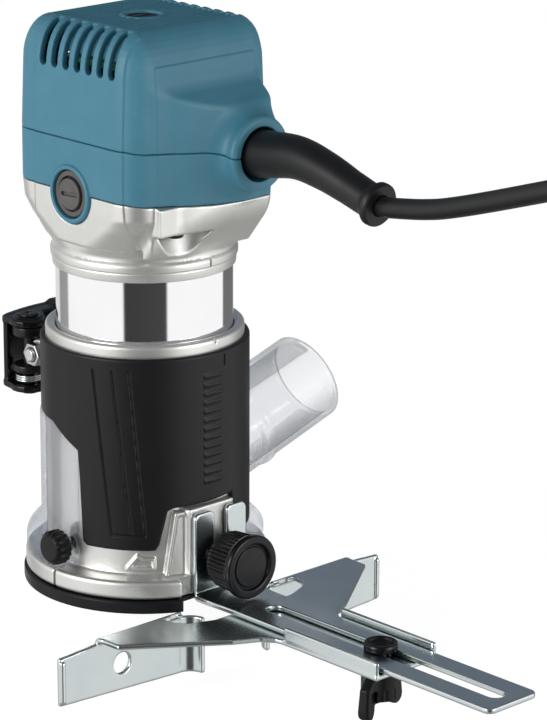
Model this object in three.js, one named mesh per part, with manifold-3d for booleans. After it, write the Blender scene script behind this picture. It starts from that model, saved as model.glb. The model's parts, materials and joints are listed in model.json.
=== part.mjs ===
// Trim router: a motor unit that slides in a clamping base, with a straight guide on the base.
// Millimetres, +Z up. -Y is the front, where the guide is clamped and the cord leaves the head.
// Pieces are drawn round the motor axis, with the sole at height 0. The whole tool is then set
// forward, so that the origin lies on the sole's material, behind the bit opening.

import * as THREE from "three";
import { mergeVertices } from "three/addons/utils/BufferGeometryUtils.js";
import Module from "manifold-3d";

const wasm = await Module();
wasm.setup();

// ---- driving dimensions -------------------------------------------------------------------

const GAP = 0.3;

const CAN_R = 32.5;
const CAN_WALL = 2;
const CAN_BOTTOM = 40;
const CAN_TOP = 127.3;

const BORE_R = CAN_R + GAP;
const TUBE_R = 36.6;
const BAND_R = 38;
const FLANGE_R = 45;
const FLANGE_TOP = 12;
const BASE_TOP = 98.5;
const CHIP_HOLE_R = 25;

const SOLE_R = 45.8;
const SOLE_TOP = 4.7;
const SOLE_HOLE_R = 17;
const SOLE_SCREW_AT = 27;
const ORIGIN_BEHIND_AXIS = 32;

const GRIP_R = 38.5;
const GRIP_INNER_R = TUBE_R + GAP;
const GRIP_TOP = 94;

const NOZZLE_INNER_R = 37;
const NOZZLE_R = 39;
const NOZZLE_LIP_R = 44.6;
const HOSE_R = 17.5;
const HOSE_BORE_R = 15.5;
const HOSE_TILT = 18.2;

const PAD_Y = -38.9;
const CLAMP_SCREW_Z = 17;
const THUMB_SCREW_Z = 20.2;

const LUG_LOW = 66.2;
const LUG_HIGH = 88;
const CLAMP_BOLT_Y = 44;
const CLAMP_BOLT_Z = 78.5;
const CAM_X = -13.5;
const CAM_Y = 51;

const RACK_ANGLE = 45;
const RACK_ROOT_R = CAN_R + 1.1;
const RACK_TIP_R = CAN_R + 1.8;
const PINION_R = 5.2;
const PINION_AT = 40;
const PINION_Z = 80;

const HOUSING_BOTTOM = 122;
const HEAD_BOTTOM = 150.9;
const HEAD_TOP = 212;
const HEAD_HALF = 34.5;
const SHELL = 2.2;
const SEAM_Z = 171;
const SEAM_DROP = 5.9;
const BRUSH_Z = 151.3;
const HOUSING_SCREW_X = 12.8;
const HOUSING_SCREW_Y = 31.3;

const CORD_X = 12;
const CORD_Z = 167;
const CORD_R = 3.6;
const GUARD_R = 9.25;

const SHEET = 2.1;
const BAR_HALF = 12.1;
const BAR_END = -187.5;
const BAR_LOW = 2.4;
const BAR_HIGH = 4.5;
const BOLT_Y = -124;
const WING_TURN = 17;
const FENCE_FRONT = -44;
const FENCE_HALF = 79;
const CURL_X = 22.7;
const CURL_R = 7.5;

// Facets around a full circle, for large, middling and small round shapes.
const FINE = 28;
const ROUND = 12;
const SMALL = 8;

// ---- materials ----------------------------------------------------------------------------

function finish(color, roughness, metalness) {
  return new THREE.MeshStandardMaterial({ color, roughness, metalness });
}

const CAST = finish(0xb9b8b2, 0.45, 0.9);
const POLISHED = finish(0xd9dadd, 0.18, 1);
const ZINC = finish(0xb4c0c4, 0.3, 0.95);
const STEEL = finish(0x9a9c9f, 0.35, 0.9);
const BRASS = finish(0xb8914a, 0.35, 0.9);
const COPPER = finish(0xa85f32, 0.4, 0.8);
const TEAL = finish(0x2d6d83, 0.5, 0);
const BLACK = finish(0x1b1b1c, 0.5, 0);
const RUBBER = finish(0x26272a, 0.75, 0);
const CLEAR = finish(0xe6ebee, 0.1, 0);
const CARBON = finish(0x2c2a29, 0.8, 0);
const BOARD = finish(0x2b5a3b, 0.6, 0);

// ---- solid modelling helpers --------------------------------------------------------------

const radians = THREE.MathUtils.degToRad;

function signedVolume(position, index) {
  const a = new THREE.Vector3();
  const b = new THREE.Vector3();
  const c = new THREE.Vector3();
  let volume = 0;
  for (let i = 0; i < index.length; i += 3) {
    a.fromBufferAttribute(position, index[i]);
    b.fromBufferAttribute(position, index[i + 1]);
    c.fromBufferAttribute(position, index[i + 2]);
    volume += a.dot(b.cross(c)) / 6;
  }
  return volume;
}

// The closed solid inside a geometry's surface, with its faces pointing out.
function toSolid(geometry) {
  const bare = geometry.clone();
  bare.deleteAttribute("normal");
  bare.deleteAttribute("uv");
  const merged = mergeVertices(bare, 1e-4);
  const index = merged.index.array;
  const corners = [];
  for (let i = 0; i < index.length; i += 3) {
    const [a, b, c] = [index[i], index[i + 1], index[i + 2]];
    if (a !== b && b !== c && c !== a) {
      corners.push(a, b, c);
    }
  }
  if (signedVolume(merged.attributes.position, corners) < 0) {
    corners.reverse();
  }
  const mesh = new wasm.Mesh({
    numProp: 3,
    vertProperties: new Float32Array(merged.attributes.position.array),
    triVerts: new Uint32Array(corners),
  });
  mesh.merge();
  return new wasm.Manifold(mesh);
}

function toGeometry(solid) {
  const mesh = solid.getMesh();
  const geometry = new THREE.BufferGeometry();
  geometry.setAttribute("position", new THREE.BufferAttribute(new Float32Array(mesh.vertProperties), 3));
  geometry.setIndex(new THREE.BufferAttribute(new Uint32Array(mesh.triVerts), 1));
  return geometry;
}

function join(...geometries) {
  return toGeometry(geometries.map(toSolid).reduce((sum, next) => sum.add(next)));
}

function cut(geometry, ...tools) {
  return toGeometry(tools.map(toSolid).reduce((rest, tool) => rest.subtract(tool), toSolid(geometry)));
}

function common(geometry, other) {
  return toGeometry(toSolid(geometry).intersect(toSolid(other)));
}

// A solid of revolution about Z from [radius, height] points.
function turned(profile, segments = ROUND) {
  const points = profile.map(([r, z]) => new THREE.Vector2(r, z));
  return new THREE.LatheGeometry(points, segments).rotateX(Math.PI / 2);
}

function disc(r, low, high, segments) {
  return turned([[0, low], [r, low], [r, high], [0, high]], segments);
}

function ring(inner, outer, low, high, segments) {
  return turned([[inner, low], [outer, low], [outer, high], [inner, high], [inner, low]], segments);
}

function facingX(geometry, y, z) {
  return geometry.rotateY(Math.PI / 2).translate(0, y, z);
}

function facingY(geometry, x, z) {
  return geometry.rotateX(-Math.PI / 2).translate(x, 0, z);
}

function box(x0, x1, y0, y1, z0, z1) {
  return new THREE.BoxGeometry(x1 - x0, y1 - y0, z1 - z0)
    .translate((x0 + x1) / 2, (y0 + y1) / 2, (z0 + z1) / 2);
}

// A plate: an outline in the XY plane, from height low to height high.
function plate(outline, low, high) {
  const shape = outline.getPoints
    ? outline
    : new THREE.Shape(outline.map(([x, y]) => new THREE.Vector2(x, y)));
  const depth = high - low;
  return new THREE.ExtrudeGeometry(shape, { depth, bevelEnabled: false, curveSegments: 4 })
    .translate(0, 0, low);
}

// An outline in the XZ plane, run from y = near to y = far.
function profileAlongY(outline, near, far) {
  return plate(outline, -far, -near).rotateX(Math.PI / 2);
}

// An outline in the YZ plane, run from x = low to x = high.
function profileAlongX(outline, low, high) {
  return plate(outline, low, high).rotateX(Math.PI / 2).rotateZ(Math.PI / 2);
}

function roundedRectangle(x0, x1, y0, y1, r) {
  const shape = new THREE.Shape();
  shape.moveTo(x0 + r, y0);
  shape.absarc(x1 - r, y0 + r, r, -Math.PI / 2, 0);
  shape.absarc(x1 - r, y1 - r, r, 0, Math.PI / 2);
  shape.absarc(x0 + r, y1 - r, r, Math.PI / 2, Math.PI);
  shape.absarc(x0 + r, y0 + r, r, Math.PI, 1.5 * Math.PI);
  return shape;
}

// Joins rings of points, all with the same count, into a closed skin with capped ends.
function skin(rings) {
  const count = rings[0].length;
  const position = rings.flat().flatMap((p) => [p.x, p.y, p.z]);
  const index = [];
  for (let k = 0; k + 1 < rings.length; k += 1) {
    for (let i = 0; i < count; i += 1) {
      const j = (i + 1) % count;
      const [a, b] = [k * count + i, k * count + j];
      index.push(a, b, b + count, a, b + count, a + count);
    }
  }
  const last = (rings.length - 1) * count;
  for (let i = 1; i + 1 < count; i += 1) {
    index.push(0, i + 1, i, last, last + i, last + i + 1);
  }
  const geometry = new THREE.BufferGeometry();
  geometry.setAttribute("position", new THREE.Float32BufferAttribute(position, 3));
  geometry.setIndex(index);
  return geometry;
}

// A piece of tube wall: stations are [angle in degrees, low edge, high edge].
function band(inner, outer, stations, step = 9) {
  const rings = [];
  const add = (angle, low, high) => {
    const [c, s] = [Math.cos(radians(angle)), Math.sin(radians(angle))];
    rings.push([[inner, low], [outer, low], [outer, high], [inner, high]]
      .map(([r, z]) => new THREE.Vector3(r * c, r * s, z)));
  };
  stations.slice(1).forEach((next, i) => {
    const from = stations[i];
    const pieces = Math.ceil((next[0] - from[0]) / step);
    for (let k = 0; k < pieces; k += 1) {
      add(...from.map((value, n) => THREE.MathUtils.lerp(value, next[n], k / pieces)));
    }
  });
  add(...stations.at(-1));
  return skin(rings);
}

function wedge(inner, outer, from, to, low, high) {
  return band(inner, outer, [[from, low, high], [to, low, high]]);
}

// A body whose level sections are rounded squares: sections are [height, half width, corner radius].
function squareLoft(sections, shrink = 0) {
  const corner = 3;
  return skin(sections.map(([z, half, radius]) => {
    const points = [];
    const r = Math.max(radius - shrink, 1);
    const centre = half - shrink - r;
    for (let quarter = 0; quarter < 4; quarter += 1) {
      const around = quarter * 90;
      for (let k = 0; k <= corner; k += 1) {
        const angle = radians(around + (k * 90) / corner);
        const cx = centre * Math.SQRT2 * Math.cos(radians(around + 45));
        const cy = centre * Math.SQRT2 * Math.sin(radians(around + 45));
        points.push(new THREE.Vector3(cx + r * Math.cos(angle), cy + r * Math.sin(angle), z));
      }
    }
    return points;
  }));
}

// A round rod along a curve, whose radius is a function of the distance from 0 to 1.
function rod(points, radiusAt, steps, sides = SMALL) {
  const curve = new THREE.CatmullRomCurve3(points.map((p) => new THREE.Vector3(...p)));
  const side = new THREE.Vector3(1, 0, 0);
  const rings = [];
  for (let k = 0; k <= steps; k += 1) {
    const centre = curve.getPointAt(k / steps);
    const up = side.clone().cross(curve.getTangentAt(k / steps)).normalize();
    const r = radiusAt(k / steps);
    rings.push(Array.from({ length: sides }, (_, i) => {
      const angle = (2 * Math.PI * i) / sides;
      return centre.clone()
        .addScaledVector(side, r * Math.cos(angle))
        .addScaledVector(up, r * Math.sin(angle));
    }));
  }
  return skin(rings);
}

function hexagon(acrossFlats) {
  const r = acrossFlats / Math.sqrt(3);
  return [0, 60, 120, 180, 240, 300].map(radians).map((a) => [r * Math.cos(a), r * Math.sin(a)]);
}

function mirrored(outline) {
  return [...outline, ...outline.map(([x, y]) => [-x, y]).reverse()];
}

const router = new THREE.Group();
router.position.y = -ORIGIN_BEHIND_AXIS;

function part(name, geometry, material) {
  const mesh = new THREE.Mesh(toGeometry(toSolid(geometry)), material);
  mesh.name = name;
  mesh.geometry.computeVertexNormals();
  router.add(mesh);
}

// ---- base: casting, sole, grip, chip nozzle -----------------------------------------------

// The lower edge of the rubber grip, as [degrees, millimetres] from the back, past the left side
// and the front, to the right side.
const GRIP_EDGE = [
  [112, 65.5], [167, 64.8], [188.4, 57.2], [189.6, 46.5], [191.3, 23.2], [194, 21.6], [233.8, 21.5],
  [236, 23.7], [240.8, 36.4], [244, 37.4], [270, 38], [283.5, 38.6], [284.5, 24], [286, 21.6],
  [320.6, 21.6], [323, 23.2], [325.4, 46.5], [326.6, 57.2], [349, 64.8], [388, 65.5],
];

function gripStations(first, last, low, high) {
  return GRIP_EDGE.filter(([a]) => a >= first && a <= last).map(([a, z]) => [a, low(z), high(z)]);
}

function castingBody() {
  const tube = turned([
    [CHIP_HOLE_R, SOLE_TOP + GAP], [FLANGE_R, SOLE_TOP + GAP], [FLANGE_R, 10.6], [43.6, FLANGE_TOP],
    [TUBE_R, FLANGE_TOP], [TUBE_R, BASE_TOP - 1], [TUBE_R - 1, BASE_TOP], [BORE_R + 0.8, BASE_TOP],
    [BORE_R, BASE_TOP - 0.8], [BORE_R, FLANGE_TOP + GAP], [CHIP_HOLE_R, FLANGE_TOP + GAP],
    [CHIP_HOLE_R, SOLE_TOP + GAP],
  ], FINE);
  const frontBand = band(TUBE_R - 1, BAND_R, gripStations(191, 323, () => FLANGE_TOP - 1, (z) => z - 0.4));
  const pad = join(
    box(-13, 8.4, PAD_Y, -34, SOLE_TOP + GAP, 37),
    box(-13, 13, PAD_Y, -34, SOLE_TOP + GAP, 20.8),
  );
  const lugs = box(-8, 8, 34.5, 50, LUG_LOW, LUG_HIGH);
  const nutBoss = facingX(disc(5, -14.6, -7, SMALL), CLAMP_BOLT_Y, CLAMP_BOLT_Z);
  const ears = [[84, LUG_HIGH], [70, 73]].map(([low, high]) => join(
    disc(6, low, high, SMALL).translate(CAM_X, CAM_Y, 0),
    box(CAM_X, -5, 45, CAM_Y + 4, low, high),
  ));
  const pinionBoss = box(-9, 9, 33.5, 47.5, PINION_Z - 8, PINION_Z + 8).rotateZ(radians(RACK_ANGLE - 90));
  return join(tube, frontBand, pad, lugs, nutBoss, ...ears, pinionBoss);
}

function castingCuts() {
  const bore = disc(BORE_R, FLANGE_TOP + GAP, BASE_TOP + 1, FINE);
  const window = wedge(BORE_R - 3, BAND_R + 2, -30, 122, 14, 58);
  const frontFlat = box(-18.6, 18.6, -50, PAD_Y, 0, FLANGE_TOP + 1);
  const split = box(-0.8, 0.8, 30, 52, 57, BASE_TOP + 1);
  const flangeSlit = box(-46, -40, -0.4, 0.4, 0, FLANGE_TOP + 1);
  const boltHole = facingX(disc(2.8, -16, 9, SMALL), CLAMP_BOLT_Y, CLAMP_BOLT_Z);
  const pinHole = disc(2.3, 60, 95, SMALL).translate(CAM_X, CAM_Y, 0);
  const clampHole = facingY(disc(3.2, -41, -30, SMALL), 0, CLAMP_SCREW_Z);
  const thumbHole = facingX(disc(2.3, -41, -30, SMALL), 0, THUMB_SCREW_Z);
  const rackWay = box(-3.6, 3.6, 28, CAN_R + 2.2, FLANGE_TOP, BASE_TOP + 1);
  const pinionWay = join(
    facingX(disc(PINION_R + 0.4, -6.4, 6.4, ROUND), PINION_AT, PINION_Z),
    facingX(disc(3.3, -10, 10, ROUND), PINION_AT, PINION_Z),
  );
  const toRack = [rackWay, pinionWay].map((tool) => tool.rotateZ(radians(RACK_ANGLE - 90)));
  const screwHoles = solePlaces().map(([x, y]) => disc(2.1, 0, 10.5, SMALL).translate(x, y, 0));
  return [
    bore, window, frontFlat, split, flangeSlit, boltHole, pinHole, clampHole, thumbHole,
    ...toRack, ...screwHoles,
  ];
}

function solePlaces() {
  return [45, 135, 225, 315].map((angle) => [
    Math.SQRT2 * SOLE_SCREW_AT * Math.cos(radians(angle)),
    Math.SQRT2 * SOLE_SCREW_AT * Math.sin(radians(angle)),
  ]);
}

part("base_casting", cut(castingBody(), ...castingCuts()), CAST);

part("grip_sleeve", band(GRIP_INNER_R, GRIP_R, gripStations(112, 388, (z) => z, () => GRIP_TOP)), RUBBER);

function sole() {
  const body = ring(SOLE_HOLE_R, SOLE_R, 0, SOLE_TOP, FINE);
  const frontFlat = box(-18.6, 18.6, -50, PAD_Y, -1, SOLE_TOP + 1);
  const guideRebate = box(-18, 18, -42, -33, -1, 2.5);
  const screwHoles = solePlaces().map(([x, y]) => join(
    disc(2.1, -1, SOLE_TOP + 1, SMALL),
    disc(4, -1, 2.7, SMALL),
  ).translate(x, y, 0));
  return cut(body, frontFlat, guideRebate, ...screwHoles);
}

part("sub_base", sole(), BLACK);

solePlaces().forEach(([x, y], i) => {
  const screw = turned([[0, 0.9], [3.5, 0.9], [3.5, 1.8], [1.75, 2.6], [1.75, 10], [0, 10]], SMALL);
  part(`sub_base_screw_${i + 1}`, screw.translate(x, y, 0), STEEL);
});

function chipNozzle() {
  const low = FLANGE_TOP + GAP;
  const wall = turned([
    [NOZZLE_INNER_R, low], [NOZZLE_LIP_R, low], [NOZZLE_LIP_R, 17], [42.6, 21], [NOZZLE_R + 0.5, 23.5],
    [NOZZLE_R, 26], [NOZZLE_R, 64.6], [NOZZLE_INNER_R, 64.6], [NOZZLE_INNER_R, low],
  ], FINE);
  const backHalf = wedge(30, 60, -32, 188, 0, 80);
  const slopes = [[-33, -9.5], [166, 190]].map(([from, to], i) => {
    const edge = [56, 64.9];
    return band(33, 46, [[from, edge[i], 80], [to, edge[1 - i], 80]]);
  });
  const outlet = (r, from, to) => (
    disc(r, from, to, ROUND).rotateY(radians(90 - HOSE_TILT)).translate(30, 0, 42.1)
  );
  const shell = join(cut(common(wall, backHalf), ...slopes), outlet(HOSE_R, 2, 55));
  const thumbWay = facingX(disc(7.2, -50, -39.3, ROUND), 0, THUMB_SCREW_Z);
  const thumbHole = facingX(disc(2.4, -45, -30, SMALL), 0, THUMB_SCREW_Z);
  return cut(shell, disc(NOZZLE_INNER_R, 0, 90, FINE), outlet(HOSE_BORE_R, -5, 60), thumbWay, thumbHole);
}

part("dust_nozzle", chipNozzle(), CLEAR);

const thumbscrew = turned([
  [0, -47.5], [5.2, -47.5], [6.4, -46.3], [6.4, -41.2], [4, -39.8], [1.95, -39.8], [1.95, -33.6],
  [0, -33.6],
], SMALL);
part("nozzle_thumbscrew", facingX(thumbscrew, 0, THUMB_SCREW_Z), BLACK);

// ---- base: clamp lever and depth pinion ---------------------------------------------------

const clampBolt = turned([[0, -19.5], [2.5, -19.5], [2.5, 8.3], [4.6, 8.3], [4.6, 12], [0, 12]], SMALL);
part("clamp_bolt", facingX(clampBolt, CLAMP_BOLT_Y, CLAMP_BOLT_Z), STEEL);

const clampNut = cut(plate(hexagon(8), -18.4, -14.9), disc(2.8, -20, -12, SMALL));
part("clamp_nut", facingX(clampNut, CLAMP_BOLT_Y, CLAMP_BOLT_Z), STEEL);

const camPin = turned([
  [0, 61.6], [3.4, 61.6], [3.4, 62.6], [2, 62.6], [2, 91.4], [3.6, 91.4], [3.6, 92.6], [0, 92.6],
], SMALL);
part("cam_pin", camPin.translate(CAM_X, CAM_Y, 0), STEEL);

const spring = turned([
  [4.2, 66], [5.3, 66], [5.6, 66.6], [5.3, 67.2], [5.6, 67.8], [5.3, 68.4], [5.6, 69], [5.3, 69.6],
  [4.2, 69.6], [4.2, 66],
], SMALL);
part("lever_spring", spring.translate(CAM_X, CAM_Y, 0), ZINC);

function leverOutline(inner, outer) {
  const shape = new THREE.Shape();
  shape.absarc(0, 0, outer, radians(42), radians(103));
  shape.lineTo(CAM_X - 5.5, CAM_Y + 9);
  shape.absarc(CAM_X, CAM_Y, 7.4, radians(150), radians(300));
  shape.lineTo(-4, inner);
  shape.absarc(0, 0, inner, radians(92), radians(42), true);
  return shape;
}

function camLever() {
  const webs = [[63, 65.6], [88.4, 91]].map(([low, high]) => plate(leverOutline(54, 62.5), low, high));
  const outerWall = wedge(60, 62.5, 42, 108, 63, 91);
  const handle = wedge(55, 62.5, 42, 87, 65, 92.6);
  const pinHole = disc(2.4, 60, 95, SMALL).translate(CAM_X, CAM_Y, 0);
  return cut(join(...webs, outerWall, handle), pinHole);
}

part("cam_lever", camLever(), BLACK);

function toothedWheel(root, tip, teeth) {
  return Array.from({ length: teeth * 4 }, (_, i) => {
    const r = i % 4 < 2 ? tip : root;
    const angle = (2 * Math.PI * (i + 0.5)) / (teeth * 4);
    return [r * Math.cos(angle), r * Math.sin(angle)];
  });
}

function toPinion(geometry) {
  return facingX(geometry, PINION_AT, PINION_Z).rotateZ(radians(RACK_ANGLE - 90));
}

const pinion = join(plate(toothedWheel(3.8, PINION_R, 10), -6, 6), disc(2.9, -9, 32, SMALL));
part("pinion_shaft", toPinion(pinion), STEEL);

const depthKnob = cut(
  join(plate(toothedWheel(7.4, 8, 12), 23, 30.5), disc(6.8, 30, 32.2, ROUND)),
  disc(3.2, 20, 34, SMALL),
);
part("depth_knob", toPinion(depthKnob), BLACK);

// ---- straight guide -----------------------------------------------------------------------

function guideBracket() {
  const fork = new THREE.Shape();
  fork.moveTo(-12.6, BAR_LOW);
  fork.lineTo(12.6, BAR_LOW);
  fork.lineTo(12.6, 33);
  fork.absarc(10.1, 33, 2.5, 0, Math.PI / 2);
  fork.lineTo(2.8, 35.5);
  fork.lineTo(2.8, 13);
  fork.absarc(0, 13, 2.8, 0, Math.PI, true);
  fork.lineTo(-2.8, 35.5);
  fork.absarc(-10.1, 33, 2.5, Math.PI / 2, Math.PI);
  const upright = profileAlongY(fork, PAD_Y - GAP - SHEET, PAD_Y - GAP);
  const end = new THREE.Shape();
  end.moveTo(BAR_HALF, PAD_Y - GAP - SHEET / 2);
  end.lineTo(-BAR_HALF, PAD_Y - GAP - SHEET / 2);
  end.absarc(-BAR_HALF + 3, BAR_END + 3, 3, Math.PI, 1.5 * Math.PI);
  end.absarc(BAR_HALF - 3, BAR_END + 3, 3, 1.5 * Math.PI, 2 * Math.PI);
  const bar = plate(end, BAR_LOW - 0.05, BAR_HIGH);
  const slot = plate(roundedRectangle(-3.4, 3.4, -182, -67, 3), 0, 8);
  return cut(join(upright, bar), slot);
}

part("guide_bracket", guideBracket(), ZINC);

const knobProfile = turned([
  [0, -58.5], [8, -58.5], [8, -58], [9, -58.5], [11, -58.5], [12, -57.5], [12, -55.5], [10.9, -54],
  [10.5, -46], [8, -44], [5, -43.8], [5, -41.8], [2.4, -41.8], [2.4, -33.5], [0, -33.5],
], ROUND);
part("guide_knob", facingY(knobProfile, 0, CLAMP_SCREW_Z), BLACK);

function guidePlate() {
  const high = BAR_LOW - GAP;
  const low = high - 1.9;
  const half = [
    [15, -137], [15, -84], [28.3, -79], [62, -54.6], [61.8, FENCE_FRONT + 2], [33.5, FENCE_FRONT + 2],
    [31.5, -52.3], [18.8, -58.5],
  ];
  const sheet = plate(mirrored(half), low, high);
  const fences = [-1, 1].map((side) => {
    const outline = [
      [CURL_X - 0.5, -0.4], [33.5, -0.4], [33.5, high], [61.8, high], [61.8, -0.4], [FENCE_HALF, -1.6],
      [FENCE_HALF, -19.5], [CURL_X - 0.5, -22.2],
    ].map(([x, z]) => [side * x, z]);
    const wall = profileAlongY(outline, FENCE_FRONT, FENCE_FRONT + 2);
    const [from, to] = side < 0 ? [0, 90] : [90, 180];
    const curl = wedge(CURL_R - 2, CURL_R, from, to, -22.2, -0.4)
      .translate(side * CURL_X, FENCE_FRONT + 2 - CURL_R, 0);
    const hole = facingY(disc(4, -50, -40, SMALL), side * 50.2, -10.6);
    return cut(join(wall, curl), hole);
  });
  const lips = [[-15, -13.1], [13.1, 15]].map(([x0, x1]) => box(x0, x1, -137, -93, low, 7));
  const boltHole = disc(3.2, -2, 5, SMALL).translate(0, BOLT_Y, 0);
  return cut(join(sheet, ...fences, ...lips), boltHole);
}

part("guide_plate", guidePlate(), ZINC);

const guideBolt = turned([[0, -14], [2.85, -14], [2.85, 4.8], [6, 4.8], [6, 7], [4.5, 8.2], [0, 8.2]], SMALL);
part("guide_bolt", guideBolt.translate(0, BOLT_Y, 0), BLACK);

function wingNut() {
  const hub = disc(6.8, -13, -0.3, ROUND);
  const wings = [-1, 1].map((side) => profileAlongY(
    [[3, -4], [10, -5], [13.5, -9], [14.5, -17], [13.8, -21], [11, -22.6], [7.8, -20.5], [7, -12], [3, -11]]
      .map(([x, z]) => [side * x, z]),
    -2.6, 2.6,
  ));
  return cut(join(hub, ...wings), disc(3.2, -15, 2, SMALL))
    .rotateZ(radians(WING_TURN))
    .translate(0, BOLT_Y, 0);
}

part("wing_nut", wingNut(), BLACK);

// ---- motor unit: can, bearing housing, head -----------------------------------------------

function motorCan() {
  const inner = CAN_R - CAN_WALL;
  const floor = CAN_BOTTOM + 3.2;
  const body = turned([
    [8.5, CAN_BOTTOM], [CAN_R - 1, CAN_BOTTOM], [CAN_R, CAN_BOTTOM + 1], [CAN_R, CAN_TOP], [inner, CAN_TOP],
    [inner, floor], [17, floor], [17, 52.6], [14.3, 52.6], [14.3, floor], [8.5, floor], [8.5, CAN_BOTTOM],
  ], FINE);
  const outlets = Array.from({ length: 8 }, (_, i) => {
    const angle = radians(i * 45 + 22.5);
    return disc(3.5, 38, 46, SMALL).translate(24 * Math.cos(angle), 24 * Math.sin(angle), 0);
  });
  return cut(body, ...outlets);
}

part("motor_can", motorCan(), POLISHED);

function rack() {
  const teeth = [];
  const pitch = (2 * Math.PI * PINION_R) / 10;
  for (let z = 53; z < 108; z += pitch) {
    teeth.push(
      [RACK_ROOT_R, z], [RACK_TIP_R, z + pitch * 0.3], [RACK_TIP_R, z + pitch * 0.6],
      [RACK_ROOT_R, z + pitch * 0.9],
    );
  }
  const side = [[CAN_R + 0.2, 52], ...teeth, [CAN_R + 0.2, 109]];
  return profileAlongX(side, -3, 3).rotateZ(radians(RACK_ANGLE - 90));
}

part("depth_rack", rack(), STEEL);

const HOUSING_SECTIONS = [
  [HOUSING_BOTTOM, 34, 34], [127.4, 34, 34], [129, 33.6, 33.4], [132, 33.6, 31], [136.4, 33.8, 24],
  [140.5, 34, 18], [145.5, HEAD_HALF, 12], [HEAD_BOTTOM - GAP, HEAD_HALF, 10],
];

function housingScrewPlaces() {
  return [[-1, -1], [1, -1], [1, 1], [-1, 1]].map(([x, y]) => [x * HOUSING_SCREW_X, y * HOUSING_SCREW_Y]);
}

function bearingHousing() {
  const outside = squareLoft(HOUSING_SECTIONS);
  const canSeat = disc(BORE_R, HOUSING_BOTTOM - 1, CAN_TOP + GAP, FINE);
  const hollow = squareLoft([[CAN_TOP, 29.5, 29.4], [140, 31.5, 16], [HEAD_BOTTOM + 1, 32, 8]]);
  const lugs = housingScrewPlaces().map(([x, y]) => {
    const [near, far] = [y * 0.82, y * 1.04].sort((a, b) => a - b);
    return box(x - 5.5, x + 5.5, near, far, 141.5, HEAD_BOTTOM - GAP);
  });
  const pockets = housingScrewPlaces().map(([x, y]) => join(
    disc(3.7, 134, 141.6, SMALL),
    disc(2.2, 134, HEAD_BOTTOM + 1, SMALL),
  ).translate(x, y, 0));
  const brushWays = facingX(disc(11, -40, 40, ROUND), 0, BRUSH_Z);
  return cut(join(cut(outside, canSeat, hollow), ...lugs), ...pockets, brushWays);
}

part("bearing_housing", bearingHousing(), CAST);

housingScrewPlaces().forEach(([x, y], i) => {
  const screw = turned([
    [0, 137.6], [3.2, 137.6], [3.2, 141.2], [1.9, 141.2], [1.9, 156], [0, 156],
  ], SMALL);
  part(`housing_screw_${i + 1}`, screw.translate(x, y, 0), STEEL);
});

const HEAD_SECTIONS = [
  [HEAD_BOTTOM, HEAD_HALF, 10], [168, HEAD_HALF, 10], [194, 33, 12], [203, 31.5, 12], [207, 29.5, 12],
  [210, 27, 12], [211.5, 24.5, 11], [HEAD_TOP, 22.5, 10],
];

function brushRings() {
  return [[-35.6, -29], [29, 35.6]].map(([from, to]) => facingX(disc(10.7, from, to, ROUND), 0, BRUSH_Z));
}

// The block that carries the cord: sloped on top, and cut back at an angle on its left side.
function cordBlock() {
  const side = [[-28, HEAD_BOTTOM], [-43, HEAD_BOTTOM], [-43, 184], [-34, 191.7], [-28, 191.7]];
  const plan = [[-25.2, -28], [-25.2, -32.5], [-5.5, -43], [25, -43], [25, -28]];
  return common(profileAlongX(side, -26, 26), plate(plan, HEAD_BOTTOM - 1, 195));
}

// The whole head as one shell, before it is parted along the seam.
function head() {
  const block = cordBlock();
  const boss = facingY(disc(13.7, -50, -40, ROUND), CORD_X, CORD_Z);
  const outside = join(squareLoft(HEAD_SECTIONS), block, boss, ...brushRings());
  const inside = HEAD_SECTIONS.slice(0, -1).map(([z, half, r]) => [z, half, r]);
  inside[0][0] = HEAD_BOTTOM - 1;
  inside.at(-1)[0] = HEAD_TOP - SHELL;
  inside.at(-2)[0] = HEAD_TOP - SHELL - 1.5;
  const hollow = squareLoft(inside, SHELL);
  return cut(outside, cut(hollow, ...brushRings()), ...headOpenings());
}

function headOpenings() {
  const vents = [];
  for (let i = 0; i < 7; i += 1) {
    const y = 15.5 - i * 6.2;
    for (const [x0, x1] of [[-36, -23.5], [23.5, 36]]) {
      vents.push(box(x0, x1, y - 2, y + 2, 195.5, HEAD_TOP + 1));
    }
  }
  const cordWay = facingY(disc(GUARD_R + 2 * GAP, -52, -30, ROUND), CORD_X, CORD_Z);
  const brushWays = facingX(disc(8.8, -40, 40, ROUND), 0, BRUSH_Z);
  const dialWay = disc(6.6, 200, HEAD_TOP + 1, ROUND);
  const switchWay = box(-9.6, 9.6, 28, 38, 180.4, 194.6);
  return [...vents, cordWay, brushWays, dialWay, switchWay];
}

// Everything above the parting surface between the top cover and the lower housing.
function aboveSeam(shift) {
  const level = SEAM_Z + shift;
  return profileAlongX([
    [60, level], [-27.5, level], [-60, level - SEAM_DROP], [-60, 230], [60, 230],
  ], -60, 60);
}

function clampPosts() {
  return [-1, 1].map((side) => {
    const x = CORD_X + side * 6.6;
    const post = join(
      disc(2.8, 156, CORD_Z + CORD_R + 0.2, SMALL).translate(x, -27.5, 0),
      box(x - 2, x + 2, -33, -28, 156, 166),
    );
    return cut(post, disc(1.9, 150, 175, SMALL).translate(x, -27.5, 0));
  });
}

function lowerHousing() {
  const shell = cut(head(), aboveSeam(-0.15));
  const spider = join(
    box(-33, 33, -2.5, 2.5, 162.5, 168),
    box(-2.5, 2.5, -33, 33, 162.5, 168),
    disc(12.5, 161.7, 169.5, ROUND),
  );
  const seat = join(disc(9.8, 162.6, 175, ROUND), disc(6, 150, 175, ROUND));
  const posts = housingScrewPlaces().map(([x, y]) => (
    disc(4, HEAD_BOTTOM, 157, SMALL).translate(x, y * 0.99, 0)
  ));
  return cut(join(shell, cut(spider, seat), ...posts, ...clampPosts()), ...screwBores());
}

function screwBores() {
  return housingScrewPlaces().map(([x, y]) => disc(2.2, 140, 159, SMALL).translate(x, y, 0));
}

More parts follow.
